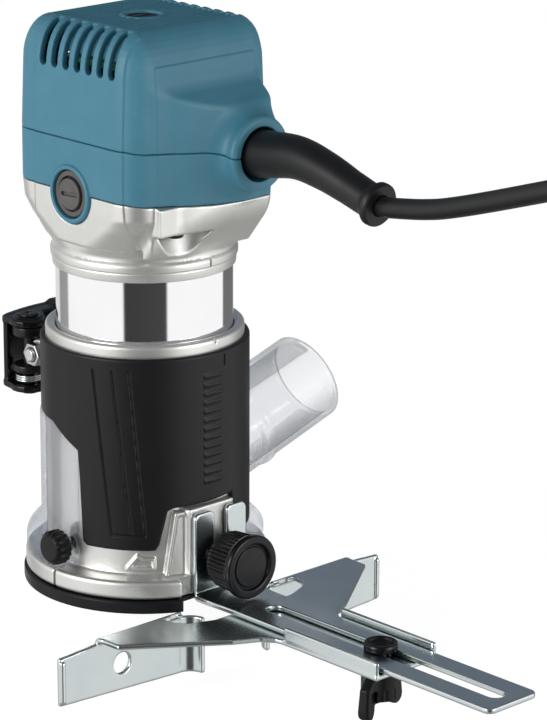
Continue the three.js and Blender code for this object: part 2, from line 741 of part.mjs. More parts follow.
part("lower_housing", lowerHousing(), TEAL);
part("top_cover", common(head(), aboveSeam(0.15)), TEAL);

// ---- motor unit: brush gear, field, bearings ----------------------------------------------

for (const [side, word] of [[-1, "left"], [1, "right"]]) {
  const toBrush = (geometry) => {
    const placed = geometry.translate(0, 0, BRUSH_Z);
    return side < 0 ? placed.rotateZ(Math.PI) : placed;
  };
  const cap = cut(
    turned([[0, 28.6], [6.8, 28.6], [6.8, 31], [8.5, 31], [8.5, 35.4], [7.9, 36], [0, 36]], ROUND)
      .rotateY(Math.PI / 2),
    box(35, 37, -5, 5, -0.7, 0.7),
  );
  part(`brush_cap_${word}`, toBrush(cap), BLACK);
  const holder = cut(box(13, 28.2, -4.6, 4.6, -5.4, 5.4), box(10, 30, -3.5, 3.5, -4.3, 4.3));
  part(`brush_holder_${word}`, toBrush(holder), BRASS);
  part(`carbon_brush_${word}`, toBrush(box(11.4, 23.5, -3.2, 3.2, -4, 4)), CARBON);
  part(`brush_spring_${word}`, toBrush(ring(1.8, 2.8, 23.8, 28.3, SMALL).rotateY(Math.PI / 2)), STEEL);
}

const COIL_ANGLES = [30, 48];

function coilLegs(centre, play) {
  return [-1, 1].map((side) => {
    const [a, b] = COIL_ANGLES.map((angle) => centre + side * angle).sort((p, q) => p - q);
    return wedge(19 - play, 25 + play, a - play, b + play, 60 - play, 126);
  });
}

function statorCore() {
  const core = ring(17.4, CAN_R - CAN_WALL - GAP, 72, 114, ROUND);
  return cut(core, ...coilLegs(90, 0.5), ...coilLegs(270, 0.5));
}

part("stator_core", statorCore(), STEEL);

function fieldCoil(centre) {
  const span = COIL_ANGLES[1];
  const ends = [[64.6, 70.5], [115.5, 121.5]].map(([low, high]) => (
    wedge(19, 25, centre - span, centre + span, low, high)
  ));
  const legs = coilLegs(centre, 0).map((leg) => common(leg, disc(40, 65, 121, ROUND)));
  return join(...ends, ...legs);
}

part("field_coil_front", fieldCoil(270), COPPER);
part("field_coil_back", fieldCoil(90), COPPER);

part("lower_bearing", ring(6.3, 14, 43.5, 52.4, ROUND), STEEL);
part("upper_bearing", ring(4.3, 9.5, 162.9, 169.4, ROUND), STEEL);

// ---- motor unit: rotor and collet ---------------------------------------------------------

part("rotor_shaft", turned([
  [0, 38], [5.2, 38], [5.2, 26.5], [7, 26.5], [7, 37], [7.6, 37], [7.6, 43.2], [6, 43.2], [6, 53.5], [5, 54],
  [5, 142], [4, 142.5], [4, 170.5], [0, 170.5],
], ROUND), STEEL);

part("rotor_core", ring(5.3, 16.5, 72, 114, ROUND), STEEL);
part("armature_winding_upper", ring(5.3, 14.5, 114.4, 123, ROUND), COPPER);
part("armature_winding_lower", ring(5.3, 14.5, 64, 71.6, ROUND), COPPER);
part("commutator", ring(4.3, 11, 144, 158, ROUND), COPPER);

function coolingFan() {
  const hub = join(ring(5.3, 27, 60.4, 62, ROUND), ring(5.3, 9, 54.4, 61, ROUND));
  const blades = Array.from({ length: 8 }, (_, i) => (
    box(8, 26.5, -0.8, 0.8, 55, 61).rotateZ(radians(i * 45))
  ));
  return join(hub, ...blades);
}

part("cooling_fan", coolingFan(), BLACK);
part("collet_cone", ring(3.1, 4.9, 25, 37.6, ROUND), STEEL);

const colletNut = cut(plate(hexagon(17), 23.5, 36.5), disc(7.3, 26.2, 40, ROUND), disc(5.2, 20, 40, ROUND));
part("collet_nut", colletNut, STEEL);

// ---- motor unit: cord, switch, speed control ----------------------------------------------

const GUARD_PATH = [
  [CORD_X, -34, CORD_Z], [CORD_X, -50, 167.3], [CORD_X, -67.6, 169], [CORD_X, -81.8, 166.8],
  [CORD_X, -94.8, 163.1], [CORD_X, -104.7, 160.2], [CORD_X, -109.4, 159.3],
];
const CORD_PATH = [
  [CORD_X, -23, CORD_Z], ...GUARD_PATH, [CORD_X, -113, 159.4], [CORD_X, -121.3, 160.5],
  [CORD_X, -129.9, 161.9], [CORD_X, -140.2, 164.2], [CORD_X, -158.5, 169.7], [CORD_X, -192, 180.6],
];

function guardRadius(t) {
  if (t > 0.965) {
    return 8;
  }
  return THREE.MathUtils.lerp(GUARD_R, 6.2, Math.min(t / 0.8, 1));
}

const guard = cut(rod(GUARD_PATH, guardRadius, 16), rod(CORD_PATH, () => CORD_R + GAP, 22, 8));
part("cord_guard", guard, BLACK);
part("power_cord", rod(CORD_PATH, () => CORD_R, 22, 8), BLACK);

const CLAMP_LOW = CORD_Z + CORD_R + 0.6;
const clampBar = box(CORD_X - 9.4, CORD_X + 9.4, -30.4, -24.6, CLAMP_LOW, CLAMP_LOW + 2.2);
const clampBarHoles = [-1, 1].map((side) => (
  disc(1.9, 160, 180, SMALL).translate(CORD_X + side * 6.6, -27.5, 0)
));
part("cord_clamp", cut(clampBar, ...clampBarHoles), BLACK);
[-1, 1].forEach((side, i) => {
  const top = CORD_Z + CORD_R + 3.1;
  const screw = turned([
    [0, 158], [1.6, 158], [1.6, top], [2.7, top], [2.7, top + 1.6], [0, top + 1.6],
  ], SMALL);
  part(`cord_clamp_screw_${i + 1}`, screw.translate(CORD_X + side * 6.6, -27.5, 0), STEEL);
});

part("switch_body", box(-10, 10, 13, 28.8, 180, 195), BLACK);

const rockerProfile = [[30.6, 182.4], [34.4, 182.1], [34.2, 187.5], [36.2, 192.9], [30.6, 192.6]];
part("switch_rocker", profileAlongX(rockerProfile, -9, 9), BLACK);

const dial = cut(
  turned([[0, 203.5], [2.5, 203.5], [2.5, 207], [6.2, 207], [6.2, 210.6], [5.6, 211.2], [0, 211.2]], ROUND),
  box(-4.5, 4.5, -0.6, 0.6, 210.2, 213),
);
part("speed_dial", dial, BLACK);

const board = join(box(-24, 24, -14, 12, 196.4, 198), box(-7, 7, -7, 7, 197.5, 204.6));
part("controller_board", cut(board, disc(2.9, 200, 206, SMALL)), BOARD);

export default router;
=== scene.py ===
# Looks of the trim router: visible pieces, materials, floor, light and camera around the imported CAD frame.
import functools
import json
import math

import bpy
import numpy as np
from mathutils import Matrix, Vector

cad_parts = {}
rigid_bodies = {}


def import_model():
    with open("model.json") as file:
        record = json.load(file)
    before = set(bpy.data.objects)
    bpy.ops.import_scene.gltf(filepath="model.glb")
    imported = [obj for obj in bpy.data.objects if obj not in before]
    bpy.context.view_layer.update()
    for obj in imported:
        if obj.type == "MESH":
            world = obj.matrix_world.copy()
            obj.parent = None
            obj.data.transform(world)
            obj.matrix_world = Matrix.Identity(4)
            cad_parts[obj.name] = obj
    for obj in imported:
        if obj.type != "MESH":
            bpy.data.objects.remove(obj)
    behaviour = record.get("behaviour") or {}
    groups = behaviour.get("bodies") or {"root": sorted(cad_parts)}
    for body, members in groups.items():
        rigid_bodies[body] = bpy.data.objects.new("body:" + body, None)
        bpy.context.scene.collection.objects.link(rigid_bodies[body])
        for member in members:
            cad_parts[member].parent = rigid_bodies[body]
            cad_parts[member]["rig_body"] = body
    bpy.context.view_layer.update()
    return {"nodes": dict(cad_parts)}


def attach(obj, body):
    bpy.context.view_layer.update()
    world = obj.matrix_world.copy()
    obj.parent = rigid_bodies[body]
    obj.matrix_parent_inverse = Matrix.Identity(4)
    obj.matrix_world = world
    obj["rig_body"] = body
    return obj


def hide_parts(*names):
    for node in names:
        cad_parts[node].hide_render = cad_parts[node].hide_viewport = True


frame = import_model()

MM = 0.001
COARSER = 1.0
CRISP_ANGLE = 34  # edges of turned pieces sharper than this stay crisp


# ---- distance fields, in millimetres

def both(a, b, r=0.0):
    """Common part of two solids, with its new convex edge rounded to radius r."""
    if r == 0.0:
        return np.maximum(a, b)
    return np.minimum(-r, np.maximum(a, b)) + np.hypot(np.maximum(a + r, 0), np.maximum(b + r, 0))


def either(*solids):
    """All the solids as one, with sharp inside corners."""
    return functools.reduce(np.minimum, solids)


def join(a, b, r=0.0):
    """Two solids as one, with its new inside corner filled to radius r."""
    return -both(-a, -b, r)


def cut(a, b, r=0.0):
    """Solid a less solid b, with its new convex edge rounded to radius r."""
    return both(a, -b, r)


def slab(v, low, high):
    return np.maximum(low - v, v - high)


def block(p, low, high, r=0.0):
    q = [np.abs(v - (a + b) / 2) - ((b - a) / 2 - r) for v, a, b in zip(p, low, high)]
    outer = np.sqrt(sum(np.maximum(v, 0) ** 2 for v in q))
    return outer + np.minimum(np.maximum(np.maximum(q[0], q[1]), q[2]), 0) - r


def post(u, v, w, centre, radius, low, high, r=0.0):
    """A round bar along w."""
    return both(np.hypot(u - centre[0], v - centre[1]) - radius, slab(w, low, high), r)


def square(x, y, half, corner):
    """A rounded square in plan."""
    qx, qy = np.abs(x) - (half - corner), np.abs(y) - (half - corner)
    return np.hypot(np.maximum(qx, 0), np.maximum(qy, 0)) + np.minimum(np.maximum(qx, qy), 0) - corner


def polygon(u, v, corners):
    """Signed distance to a closed outline."""
    nearest = np.full(u.shape, 1e12, np.float32)
    inside = np.zeros(u.shape, bool)
    for (au, av), (bu, bv) in zip(corners, corners[1:] + corners[:1]):
        eu, ev = bu - au, bv - av
        du, dv = u - au, v - av
        t = np.clip((du * eu + dv * ev) / (eu * eu + ev * ev), 0, 1)
        nearest = np.minimum(nearest, (du - t * eu) ** 2 + (dv - t * ev) ** 2)
        if ev != 0:
            inside ^= ((av > v) != (bv > v)) & (du < eu * dv / ev)
    return np.where(inside, -1, 1) * np.sqrt(nearest)


def trail(u, v, points):
    """Distance to an open line of straight runs."""
    nearest = np.full(u.shape, 1e12, np.float32)
    for (au, av), (bu, bv) in zip(points, points[1:]):
        eu, ev = bu - au, bv - av
        t = np.clip(((u - au) * eu + (v - av) * ev) / (eu * eu + ev * ev), 0, 1)
        nearest = np.minimum(nearest, (u - au - t * eu) ** 2 + (v - av - t * ev) ** 2)
    return np.sqrt(nearest)


def arc(centre, radius, start, end, steps=8):
    """Points on a circle, from one angle to another in degrees."""
    angles = np.radians(np.linspace(start, end, steps))
    return [(centre[0] + radius * math.cos(a), centre[1] + radius * math.sin(a)) for a in angles]


def turned_about(p, degrees, centre=(0, 0)):
    """Coordinates in axes turned about a vertical line."""
    c, s = math.cos(math.radians(degrees)), math.sin(math.radians(degrees))
    x, y = p[0] - centre[0], p[1] - centre[1]
    return x * c + y * s, y * c - x * s, p[2]


def bearing_of(x, y, start=0):
    """Degrees round the motor axis, counted from start over one full turn."""
    return start + (np.degrees(np.arctan2(y, x)) - start) % 360


def graded(v, places, values):
    """A size that changes evenly between the given places."""
    return np.interp(v, places, values).astype(np.float32)


# ---- from distance field to mesh

BLOCK = 16


def sample(field, low, shape, step):
    """The field on a grid, worked out in full only near its surface."""
    values = None
    for size in (16, 8, 4, 1):
        counts = [n // size for n in shape]
        axes = [low[a] + step * (size * np.arange(counts[a]) + (size - 1) / 2) for a in range(3)]
        grown = np.ones(counts, bool)
        level = np.zeros(counts, np.float32)
        if values is not None:
            factor = last // size
            level = values
            for a in range(3):
                level = level.repeat(factor, axis=a)
            grown = np.abs(level) < step * last * 0.87 * 1.3 + 2 * step
        i, j, k = np.nonzero(grown)
        if len(i):
            p = tuple(axes[a][n].astype(np.float32) for a, n in enumerate((i, j, k)))
            level[i, j, k] = field(p)
        values, last = level, size
    return values


CORNERS = np.array([[i, j, k] for i in (0, 1) for j in (0, 1) for k in (0, 1)])
EDGES = [(a, b) for a in range(8) for b in range(8) if a < b and np.abs(CORNERS[a] - CORNERS[b]).sum() == 1]


def between(values, q):
    """Values read off a grid between its points."""
    base = np.clip(np.floor(q).astype(int), 0, np.array(values.shape) - 2)
    t = q - base
    total = np.zeros(len(q))
    for corner in CORNERS:
        weight = np.prod(np.where(corner, t, 1 - t), axis=1)
        total += weight * values[tuple((base + corner).T)]
    return total


def surface(values):
    """Quads over the zero surface of a grid: vertices in grid units, and faces."""
    inside = values < 0
    cells = [n - 1 for n in values.shape]
    views = [inside[i:i + cells[0], j:j + cells[1], k:k + cells[2]] for i, j, k in CORNERS]
    mixed = np.logical_or.reduce(views) & ~np.logical_and.reduce(views)
    where = np.argwhere(mixed)
    number = np.full(cells, -1, np.int64)
    number[mixed] = np.arange(len(where))
    at = np.stack([values[tuple((where + c).T)] for c in CORNERS], 1).astype(float)
    total, count = np.zeros((len(where), 3)), np.zeros(len(where))
    for a, b in EDGES:
        crosses = (at[:, a] < 0) != (at[:, b] < 0)
        t = np.where(crosses, at[:, a] / np.where(crosses, at[:, a] - at[:, b], 1), 0)
        total += crosses[:, None] * (CORNERS[a] + t[:, None] * (CORNERS[b] - CORNERS[a]))
        count += crosses
    vertices = where + total / count[:, None]
    faces = []
    for axis in range(3):
        u, v = (axis + 1) % 3, (axis + 2) % 3
        here = np.moveaxis(inside, (axis, u, v), (0, 1, 2))
        ids = np.moveaxis(number, (axis, u, v), (0, 1, 2))
        leaving = here[:-1, 1:-1, 1:-1] & ~here[1:, 1:-1, 1:-1]
        entering = ~here[:-1, 1:-1, 1:-1] & here[1:, 1:-1, 1:-1]
        for change, order in ((leaving, (0, 1, 2, 3)), (entering, (3, 2, 1, 0))):
            n, i, j = np.nonzero(change)
            ring = (ids[n, i, j], ids[n, i + 1, j], ids[n, i + 1, j + 1], ids[n, i, j + 1])
            faces.append(np.stack([ring[o] for o in order], 1))
    return vertices, np.concatenate(faces)


def settle(vertices, faces, values):
    """Evens the vertices out along the surface and puts them back on it."""
    ends = np.concatenate([faces[:, [n, (n + 1) % 4]] for n in range(4)])
    count = np.bincount(ends[:, 0], minlength=len(vertices))
    for _ in range(2):
        sums = [np.bincount(ends[:, 0], vertices[ends[:, 1], a], len(vertices)) for a in range(3)]
        mean = np.stack(sums, 1) / np.maximum(count, 1)[:, None]
        vertices = vertices * 0.5 + mean * 0.5
        d = between(values, vertices)
        shifts = [0.5 * axis for axis in np.eye(3)]
        slope = np.stack([between(values, vertices + v) - between(values, vertices - v) for v in shifts], 1)
        pull = (d / np.maximum((slope ** 2).sum(1), 1e-9))[:, None] * slope
        size = np.linalg.norm(pull, axis=1, keepdims=True)
        vertices = vertices - pull * np.minimum(1, 0.6 / np.maximum(size, 1e-9))
    return vertices


def add_mesh(name, vertices, faces):
    """A smooth-shaded object from an array of points in millimetres and an array of quads."""
    mesh = bpy.data.meshes.new(name)
    mesh.vertices.add(len(vertices))
    mesh.vertices.foreach_set("co", (np.asarray(vertices) * MM).astype(np.float32).ravel())
    mesh.loops.add(faces.size)
    mesh.loops.foreach_set("vertex_index", faces.astype(np.int32).ravel())
    mesh.polygons.add(len(faces))
    mesh.polygons.foreach_set("loop_start", np.arange(0, faces.size, faces.shape[1], dtype=np.int32))
    mesh.polygons.foreach_set("use_smooth", np.ones(len(faces), bool))
    mesh.update(calc_edges=True)
    mesh.validate()
    made = bpy.data.objects.new(name, mesh)
    bpy.context.scene.collection.objects.link(made)
    return made


def carve(name, field, low, high, step):
    """An object whose surface is where the field is zero, between two corners of a box."""
    step = step * COARSER
    low = np.array(low, float) - 1.5 * step
    shape = [BLOCK * (int((high[a] - low[a]) / step + 3) // BLOCK + 1) for a in range(3)]
    values = sample(field, low, shape, step)
    vertices, faces = surface(values)
    vertices = settle(vertices, faces, values)
    return add_mesh(name, low + step * vertices, faces)


# ---- turned and swept pieces

def eased(points, steps=4):
    """An outline of (radius, height, rounding) points, with each corner drawn as a short curve."""
    done = []
    for n, (r, h, ease) in enumerate(points):
        here = Vector((r, h))
        if ease <= 0 or n in (0, len(points) - 1):
            done.append((r, h))
            continue
        before, after = Vector(points[n - 1][:2]), Vector(points[n + 1][:2])
        start = here + (before - here).normalized() * min(ease, (before - here).length * 0.49)
        end = here + (after - here).normalized() * min(ease, (after - here).length * 0.49)
        for k in range(steps + 1):
            t = k / steps
            q = start * (1 - t) ** 2 + here * 2 * t * (1 - t) + end * t * t
            done.append((q.x, q.y))
    return done


def revolved(profile, sides, shape):
    """Rings of a turned piece; shape(angle, radius, height) may move each ring point in or out."""
    angles = np.linspace(0, 2 * np.pi, sides, endpoint=False)
    rings = []
    for r, h in profile:
        radius = r + (np.zeros(sides) if shape is None else shape(angles, r, h))
        rings.append(np.stack([radius * np.cos(angles), radius * np.sin(angles), np.full(sides, h)], 1))
    return rings


def turned(name, profile, place, sides=96, shape=None):
    """A solid of revolution, whose profile starts and ends on the axis."""
    return skin(name, revolved(eased(profile), sides, shape), place)


def open_ring(name, profile, place, sides, shape=None):
    """A closed ring of revolution, whose profile returns to its start."""
    rings = revolved(eased(profile)[:-1], sides, shape)
    return skin(name, rings + rings[:1], place, capped=False)


def tiny_ring(ring):
    """The ring shrunk almost to its middle, to close an end."""
    return ring.mean(0)[None] * 0.999 + ring * 0.001


def skin(name, rings, place=None, capped=True):
    """Quads between rings of points, each end closed unless the rings run round to the start."""
    sides = len(rings[0])
    if capped:
        rings = [tiny_ring(rings[0])] + list(rings) + [tiny_ring(rings[-1])]
    n = np.arange(sides)
    m = (n + 1) % sides
    faces = [np.stack([k * sides + n, k * sides + m, (k + 1) * sides + m, (k + 1) * sides + n], 1)
             for k in range(len(rings) - 1)]
    if capped:
        faces += end_caps(len(rings), sides)
    made = add_mesh(name, np.concatenate(rings), np.concatenate(faces))
    if place is not None:
        made.data.transform(Matrix.Scale(MM, 4) @ place @ Matrix.Scale(1 / MM, 4))
    made.data.set_sharp_from_angle(angle=math.radians(CRISP_ANGLE))
    return made


def end_caps(rings, sides):
    """Quads across the two tiny end rings, so the piece is closed."""
    caps = []
    for base, flip in ((0, True), ((rings - 1) * sides, False)):
        for k in range(sides // 2 - 1):
            quad = [base + k, base + k + 1, base + sides - 2 - k, base + sides - 1 - k]
            caps.append(quad[::-1] if flip else quad)
    return [np.array(caps)]


def along_x(y, z):
    """Turns a piece made along Z to lie along X, through (y, z)."""
    return Matrix.Translation((0, y, z)) @ Matrix.Rotation(math.radians(90), 4, "Y")


def along_y(x, z):
    """Turns a piece made along Z to lie along Y, through (x, z)."""
    return Matrix.Translation((x, 0, z)) @ Matrix.Rotation(math.radians(-90), 4, "X")


def upright(x, y):
    return Matrix.Translation((x, y, 0))


def smooth_line(points, steps):
    """Evenly spaced points on a smooth line through the given ones."""
    p = np.array(points, float)
    p = np.concatenate([2 * p[:1] - p[1:2], p, 2 * p[-1:] - p[-2:-1]])
    out = []
    for k in range(1, len(p) - 2):
        t = np.linspace(0, 1, 24, endpoint=False)[:, None]
        a, b, c, d = p[k - 1], p[k], p[k + 1], p[k + 2]
        curve = 2 * b + (c - a) * t + (2 * a - 5 * b + 4 * c - d) * t ** 2 + (3 * b - a - 3 * c + d) * t ** 3
        out.append(0.5 * curve)
    out = np.concatenate(out + [p[-2:-1]])
    far = np.concatenate([[0], np.cumsum(np.linalg.norm(np.diff(out, axis=0), axis=1))])
    even = np.linspace(0, far[-1], steps)
    return np.stack([np.interp(even, far, out[:, a]) for a in range(3)], 1)


def swept_rings(line, radii, sides):
    """Rings round a line, each with its own radius; the line stays near the YZ plane."""
    ahead = np.gradient(line, axis=0)
    ahead /= np.linalg.norm(ahead, axis=1, keepdims=True)
    side = np.array([1.0, 0, 0])
    up = np.cross(ahead, side)
    up /= np.linalg.norm(up, axis=1, keepdims=True)
    angles = np.linspace(0, 2 * np.pi, sides, endpoint=False)
    return [centre + r * (np.cos(angles)[:, None] * side + np.sin(angles)[:, None] * u)
            for centre, r, u in zip(line, radii, up)]


# ---- materials

class Graph:
    """A node tree with short calls for the nodes the materials share."""

    def __init__(self, tree, fresh=True):
        self.tree = tree
        if fresh:
            tree.nodes.clear()

    def feed(self, socket, value):
        """Links an output to a socket, or sets the socket's own value."""
        if isinstance(value, bpy.types.NodeSocket):
            self.tree.links.new(value, socket)
        else:
            socket.default_value = value

    def add(self, kind, settings=None, **inputs):
        node = self.tree.nodes.new(kind)
        for key, value in (settings or {}).items():
            setattr(node, key, value)
        for key, value in inputs.items():
            self.feed(node.inputs[key.replace("_", " ")], value)
        return node

    def math(self, operation, a, b=0.0, clamp=False):
        node = self.tree.nodes.new("ShaderNodeMath")
        node.operation, node.use_clamp = operation, clamp
        self.feed(node.inputs[0], a)
        self.feed(node.inputs[1], b)
        return node.outputs[0]

    def mix(self, factor, a, b):
        node = self.tree.nodes.new("ShaderNodeMix")
        node.data_type = "RGBA"
        for index, value in ((0, factor), (6, a), (7, b)):
            self.feed(node.inputs[index], value)
        return node.outputs[2]

    def mix_shaders(self, factor, first, second):
        node = self.add("ShaderNodeMixShader", Fac=factor)
        self.feed(node.inputs[1], first.outputs[0])
        self.feed(node.inputs[2], second.outputs[0])
        return node

    def ramp(self, factor, stops):
        node = self.add("ShaderNodeValToRGB", Fac=factor)
        while len(node.color_ramp.elements) < len(stops):
            node.color_ramp.elements.new(1.0)
        for element, (place, value) in zip(node.color_ramp.elements, stops):
            element.position = place
            element.color = (*value, 1) if isinstance(value, tuple) else (value, value, value, 1)
        return node.outputs[0]

    def noise(self, vector, size, detail=3.0, rough=0.5):
        """Noise whose features are about this many millimetres wide."""
        scale = 1 / (size * MM)
        node = self.add("ShaderNodeTexNoise", Vector=vector, Scale=scale, Detail=detail, Roughness=rough)
        return node.outputs["Fac"]


def shade(rgb, factor):
    return tuple(min(1.0, v * factor) for v in rgb) + (1,)


def new_material(name):
    made = bpy.data.materials.new(name)
    made.use_nodes = True
    return made, Graph(made.node_tree)


def surface_look(name, rgb, metal=0.0, rough=0.5, grain=0.3, depth=0.02, vary=0.08, rough_vary=0.1,
                 wear=0.0, stretch=(1, 1, 1), patch=9.0, tint=None, specular=0.5):
    """A principled material with colour patches, fine grain, uneven gloss and worn edges.

    The grain's width and depth and the patches' width are in millimetres."""
    made, g = new_material(name)
    place = g.add("ShaderNodeTexCoord").outputs["Object"]
    run = g.add("ShaderNodeMapping", Vector=place, Scale=stretch).outputs[0]
    cloud = g.noise(place, patch, 4.0, 0.6)
    fine = g.noise(run, grain, 3.0, 0.6)
    colour = g.ramp(cloud, [(0.3, shade(rgb, 1 - vary)[:3]), (0.7, shade(tint or rgb, 1 + vary)[:3])])
    colour = g.mix(g.math("MULTIPLY", fine, 0.5 * vary), colour, shade(rgb, 0.6))
    if wear:
        edge = g.ramp(g.add("ShaderNodeNewGeometry").outputs["Pointiness"], [(0.505, 0.0), (0.56, 1.0)])
        edge = g.math("MULTIPLY", edge, g.math("MULTIPLY", cloud, wear, True), True)
        colour = g.mix(edge, colour, shade(rgb, 1.9))
    mixed = g.math("ADD", g.math("MULTIPLY", cloud, 0.6), g.math("MULTIPLY", fine, 0.4))
    gloss = g.math("ADD", rough - rough_vary / 2, g.math("MULTIPLY", mixed, rough_vary), True)
    bump = g.add("ShaderNodeBump", Height=fine, Strength=1.0, Distance=depth * MM).outputs[0]
    shader = g.add("ShaderNodeBsdfPrincipled", Base_Color=colour, Metallic=metal, Roughness=gloss,
                   Normal=bump, Specular_IOR_Level=specular)
    g.add("ShaderNodeOutputMaterial", Surface=shader.outputs[0])
    made.diffuse_color = shade(rgb, 1)
    return made


# Colour let through by the clear plastic, from face on to edge on.
CLEAR_TINT = [
    (0.0, (0.955, 0.957, 0.962)), (0.6, (0.945, 0.948, 0.955)), (0.88, (0.86, 0.865, 0.88)),
    (1.0, (0.60, 0.61, 0.64)),
]


def clear_look():
    """Clear moulded plastic: nearly invisible face on, grey and shiny at its edges, with faint scuffs."""
    made, g = new_material("clear_plastic")
    place = g.add("ShaderNodeTexCoord").outputs["Object"]
    scuff = g.noise(g.add("ShaderNodeMapping", Vector=place, Scale=(1, 4, 1)).outputs[0], 1.2, 4.0, 0.65)
    cloud = g.noise(place, 12.0, 2.0)
    bump = g.add("ShaderNodeBump", Height=cloud, Strength=1.0, Distance=0.12 * MM).outputs[0]
    facing = g.add("ShaderNodeLayerWeight", Blend=0.5, Normal=bump).outputs["Facing"]
    body = g.ramp(facing, CLEAR_TINT)
    see = g.add("ShaderNodeBsdfTransparent", Color=body)
    gloss_rough = g.math("ADD", 0.03, g.math("MULTIPLY", scuff, 0.12))
    shine = g.add("ShaderNodeBsdfGlossy", Color=(0.95, 0.96, 0.98, 1), Roughness=gloss_rough, Normal=bump)
    veil = g.add("ShaderNodeBsdfDiffuse", Color=(0.86, 0.87, 0.9, 1))
    fresnel = g.add("ShaderNodeFresnel", IOR=1.46, Normal=bump).outputs[0]
    veiled = g.mix_shaders(g.math("MULTIPLY", scuff, 0.06), see, veil)
    whole = g.mix_shaders(g.math("MULTIPLY", fresnel, 0.55), veiled, shine)
    g.add("ShaderNodeOutputMaterial", Surface=whole.outputs[0])
    return made


def board_look():
    """Green circuit board with lighter tracks."""
    made = surface_look("circuit_board", (0.02, 0.13, 0.06), rough=0.35, grain=0.4, depth=0.03)
    g = Graph(made.node_tree, fresh=False)
    place = g.add("ShaderNodeTexCoord").outputs["Object"]
    cells = g.add("ShaderNodeTexVoronoi", {"feature": "DISTANCE_TO_EDGE"}, Vector=place, Scale=1 / (3 * MM))
    track = g.ramp(cells.outputs["Distance"], [(0.05, 1.0), (0.09, 0.0)])
    shader = next(n for n in g.tree.nodes if n.type == "BSDF_PRINCIPLED")
    base = shader.inputs["Base Color"].links[0].from_socket
    g.feed(shader.inputs["Base Color"], g.mix(track, base, (0.08, 0.3, 0.13, 1)))
    return made


SURFACES = {
    "cast_aluminium": dict(rgb=(0.72, 0.715, 0.69), metal=0.86, rough=0.40, depth=0.010, vary=0.03, wear=0.3,
                           patch=10.0),
    "polished_aluminium": dict(rgb=(0.93, 0.93, 0.94), metal=1.0, rough=0.075, grain=0.5, depth=0.0006,
                               vary=0.02, rough_vary=0.05, stretch=(0.05, 0.05, 6), patch=20.0),
    "zinc_plate": dict(rgb=(0.60, 0.655, 0.68), tint=(0.62, 0.675, 0.66), metal=1.0, rough=0.25, grain=0.9,
                       depth=0.004, vary=0.03, wear=0.5, patch=16.0),
    "steel": dict(rgb=(0.50, 0.50, 0.49), metal=1.0, rough=0.3, grain=0.4, depth=0.006, rough_vary=0.15,
                  wear=0.6),
    "black_steel": dict(rgb=(0.008, 0.008, 0.009), metal=0.3, rough=0.35, grain=0.4, depth=0.006, vary=0.15,
                        rough_vary=0.12, wear=0.4),
    "lamination_steel": dict(rgb=(0.32, 0.33, 0.35), metal=1.0, rough=0.42, grain=0.5, depth=0.05, vary=0.1,
                             stretch=(0.05, 0.05, 1)),
    "brass": dict(rgb=(0.62, 0.43, 0.16), metal=1.0, rough=0.3, grain=0.5, depth=0.008, rough_vary=0.15,
                  wear=0.4),
    "copper": dict(rgb=(0.58, 0.25, 0.12), metal=1.0, rough=0.38, grain=0.6, depth=0.10, vary=0.12,
                   rough_vary=0.15, stretch=(0.1, 0.1, 1)),
    "teal_plastic": dict(rgb=(0.052, 0.195, 0.272), tint=(0.056, 0.202, 0.281), rough=0.46, grain=0.28,
                         depth=0.010, vary=0.04, wear=0.15, patch=14.0, specular=0.4),
    "black_plastic": dict(rgb=(0.006, 0.006, 0.007), rough=0.38, grain=0.25, depth=0.010, vary=0.12,
                          rough_vary=0.14, wear=0.5, specular=0.22),
    "gloss_black": dict(rgb=(0.005, 0.005, 0.006), rough=0.24, grain=0.5, depth=0.004, vary=0.1,
                        rough_vary=0.12, wear=0.4, specular=0.3),
    "grip_rubber": dict(rgb=(0.006, 0.006, 0.007), rough=0.44, grain=0.22, depth=0.014, vary=0.10, wear=0.3,
                        specular=0.30),
    "cord_rubber": dict(rgb=(0.007, 0.007, 0.008), rough=0.42, grain=0.4, depth=0.010, vary=0.10,
                        rough_vary=0.12, specular=0.38),
    "brush_cap_plastic": dict(rgb=(0.085, 0.078, 0.076), grain=0.35, depth=0.05, vary=0.25, rough_vary=0.12),
    "carbon": dict(rgb=(0.03, 0.028, 0.027), metal=0.2, rough=0.6, grain=0.2, depth=0.03, vary=0.15),
}
LOOKS = {name: surface_look(name, **settings) for name, settings in SURFACES.items()}
LOOKS["clear_plastic"] = clear_look()
LOOKS["circuit_board"] = board_look()


# ---- placing pieces

AXIS_Y = -32.0  # pieces are drawn round the motor axis, which stands here in the frame


def dress(made, slot, *nodes, body=None, look=None):
    """Sets a new piece in the frame, gives it its material, and lets it stand for its CAD nodes."""
    made.data.transform(Matrix.Translation((0, AXIS_Y * MM, 0)))
    made.data.materials.clear()
    made.data.materials.append(LOOKS[look or slot])
    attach(made, body or frame["nodes"][nodes[0]]["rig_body"])
    if nodes:
        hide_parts(*nodes)
    return made


def carved(node, part, slot, field, low, high, step):
    """A carved piece that stands for one CAD node."""
    dress(carve(f"{node}_{part}", field, low, high, step), slot, node)


def keep(slot, *nodes):
    """Shows CAD nodes as they are, with a material of this script."""
    for node in nodes:
        shown = frame["nodes"][node]
        shown.data.materials.clear()
        shown.data.materials.append(LOOKS[slot])


# ---- head: top cover and lower housing

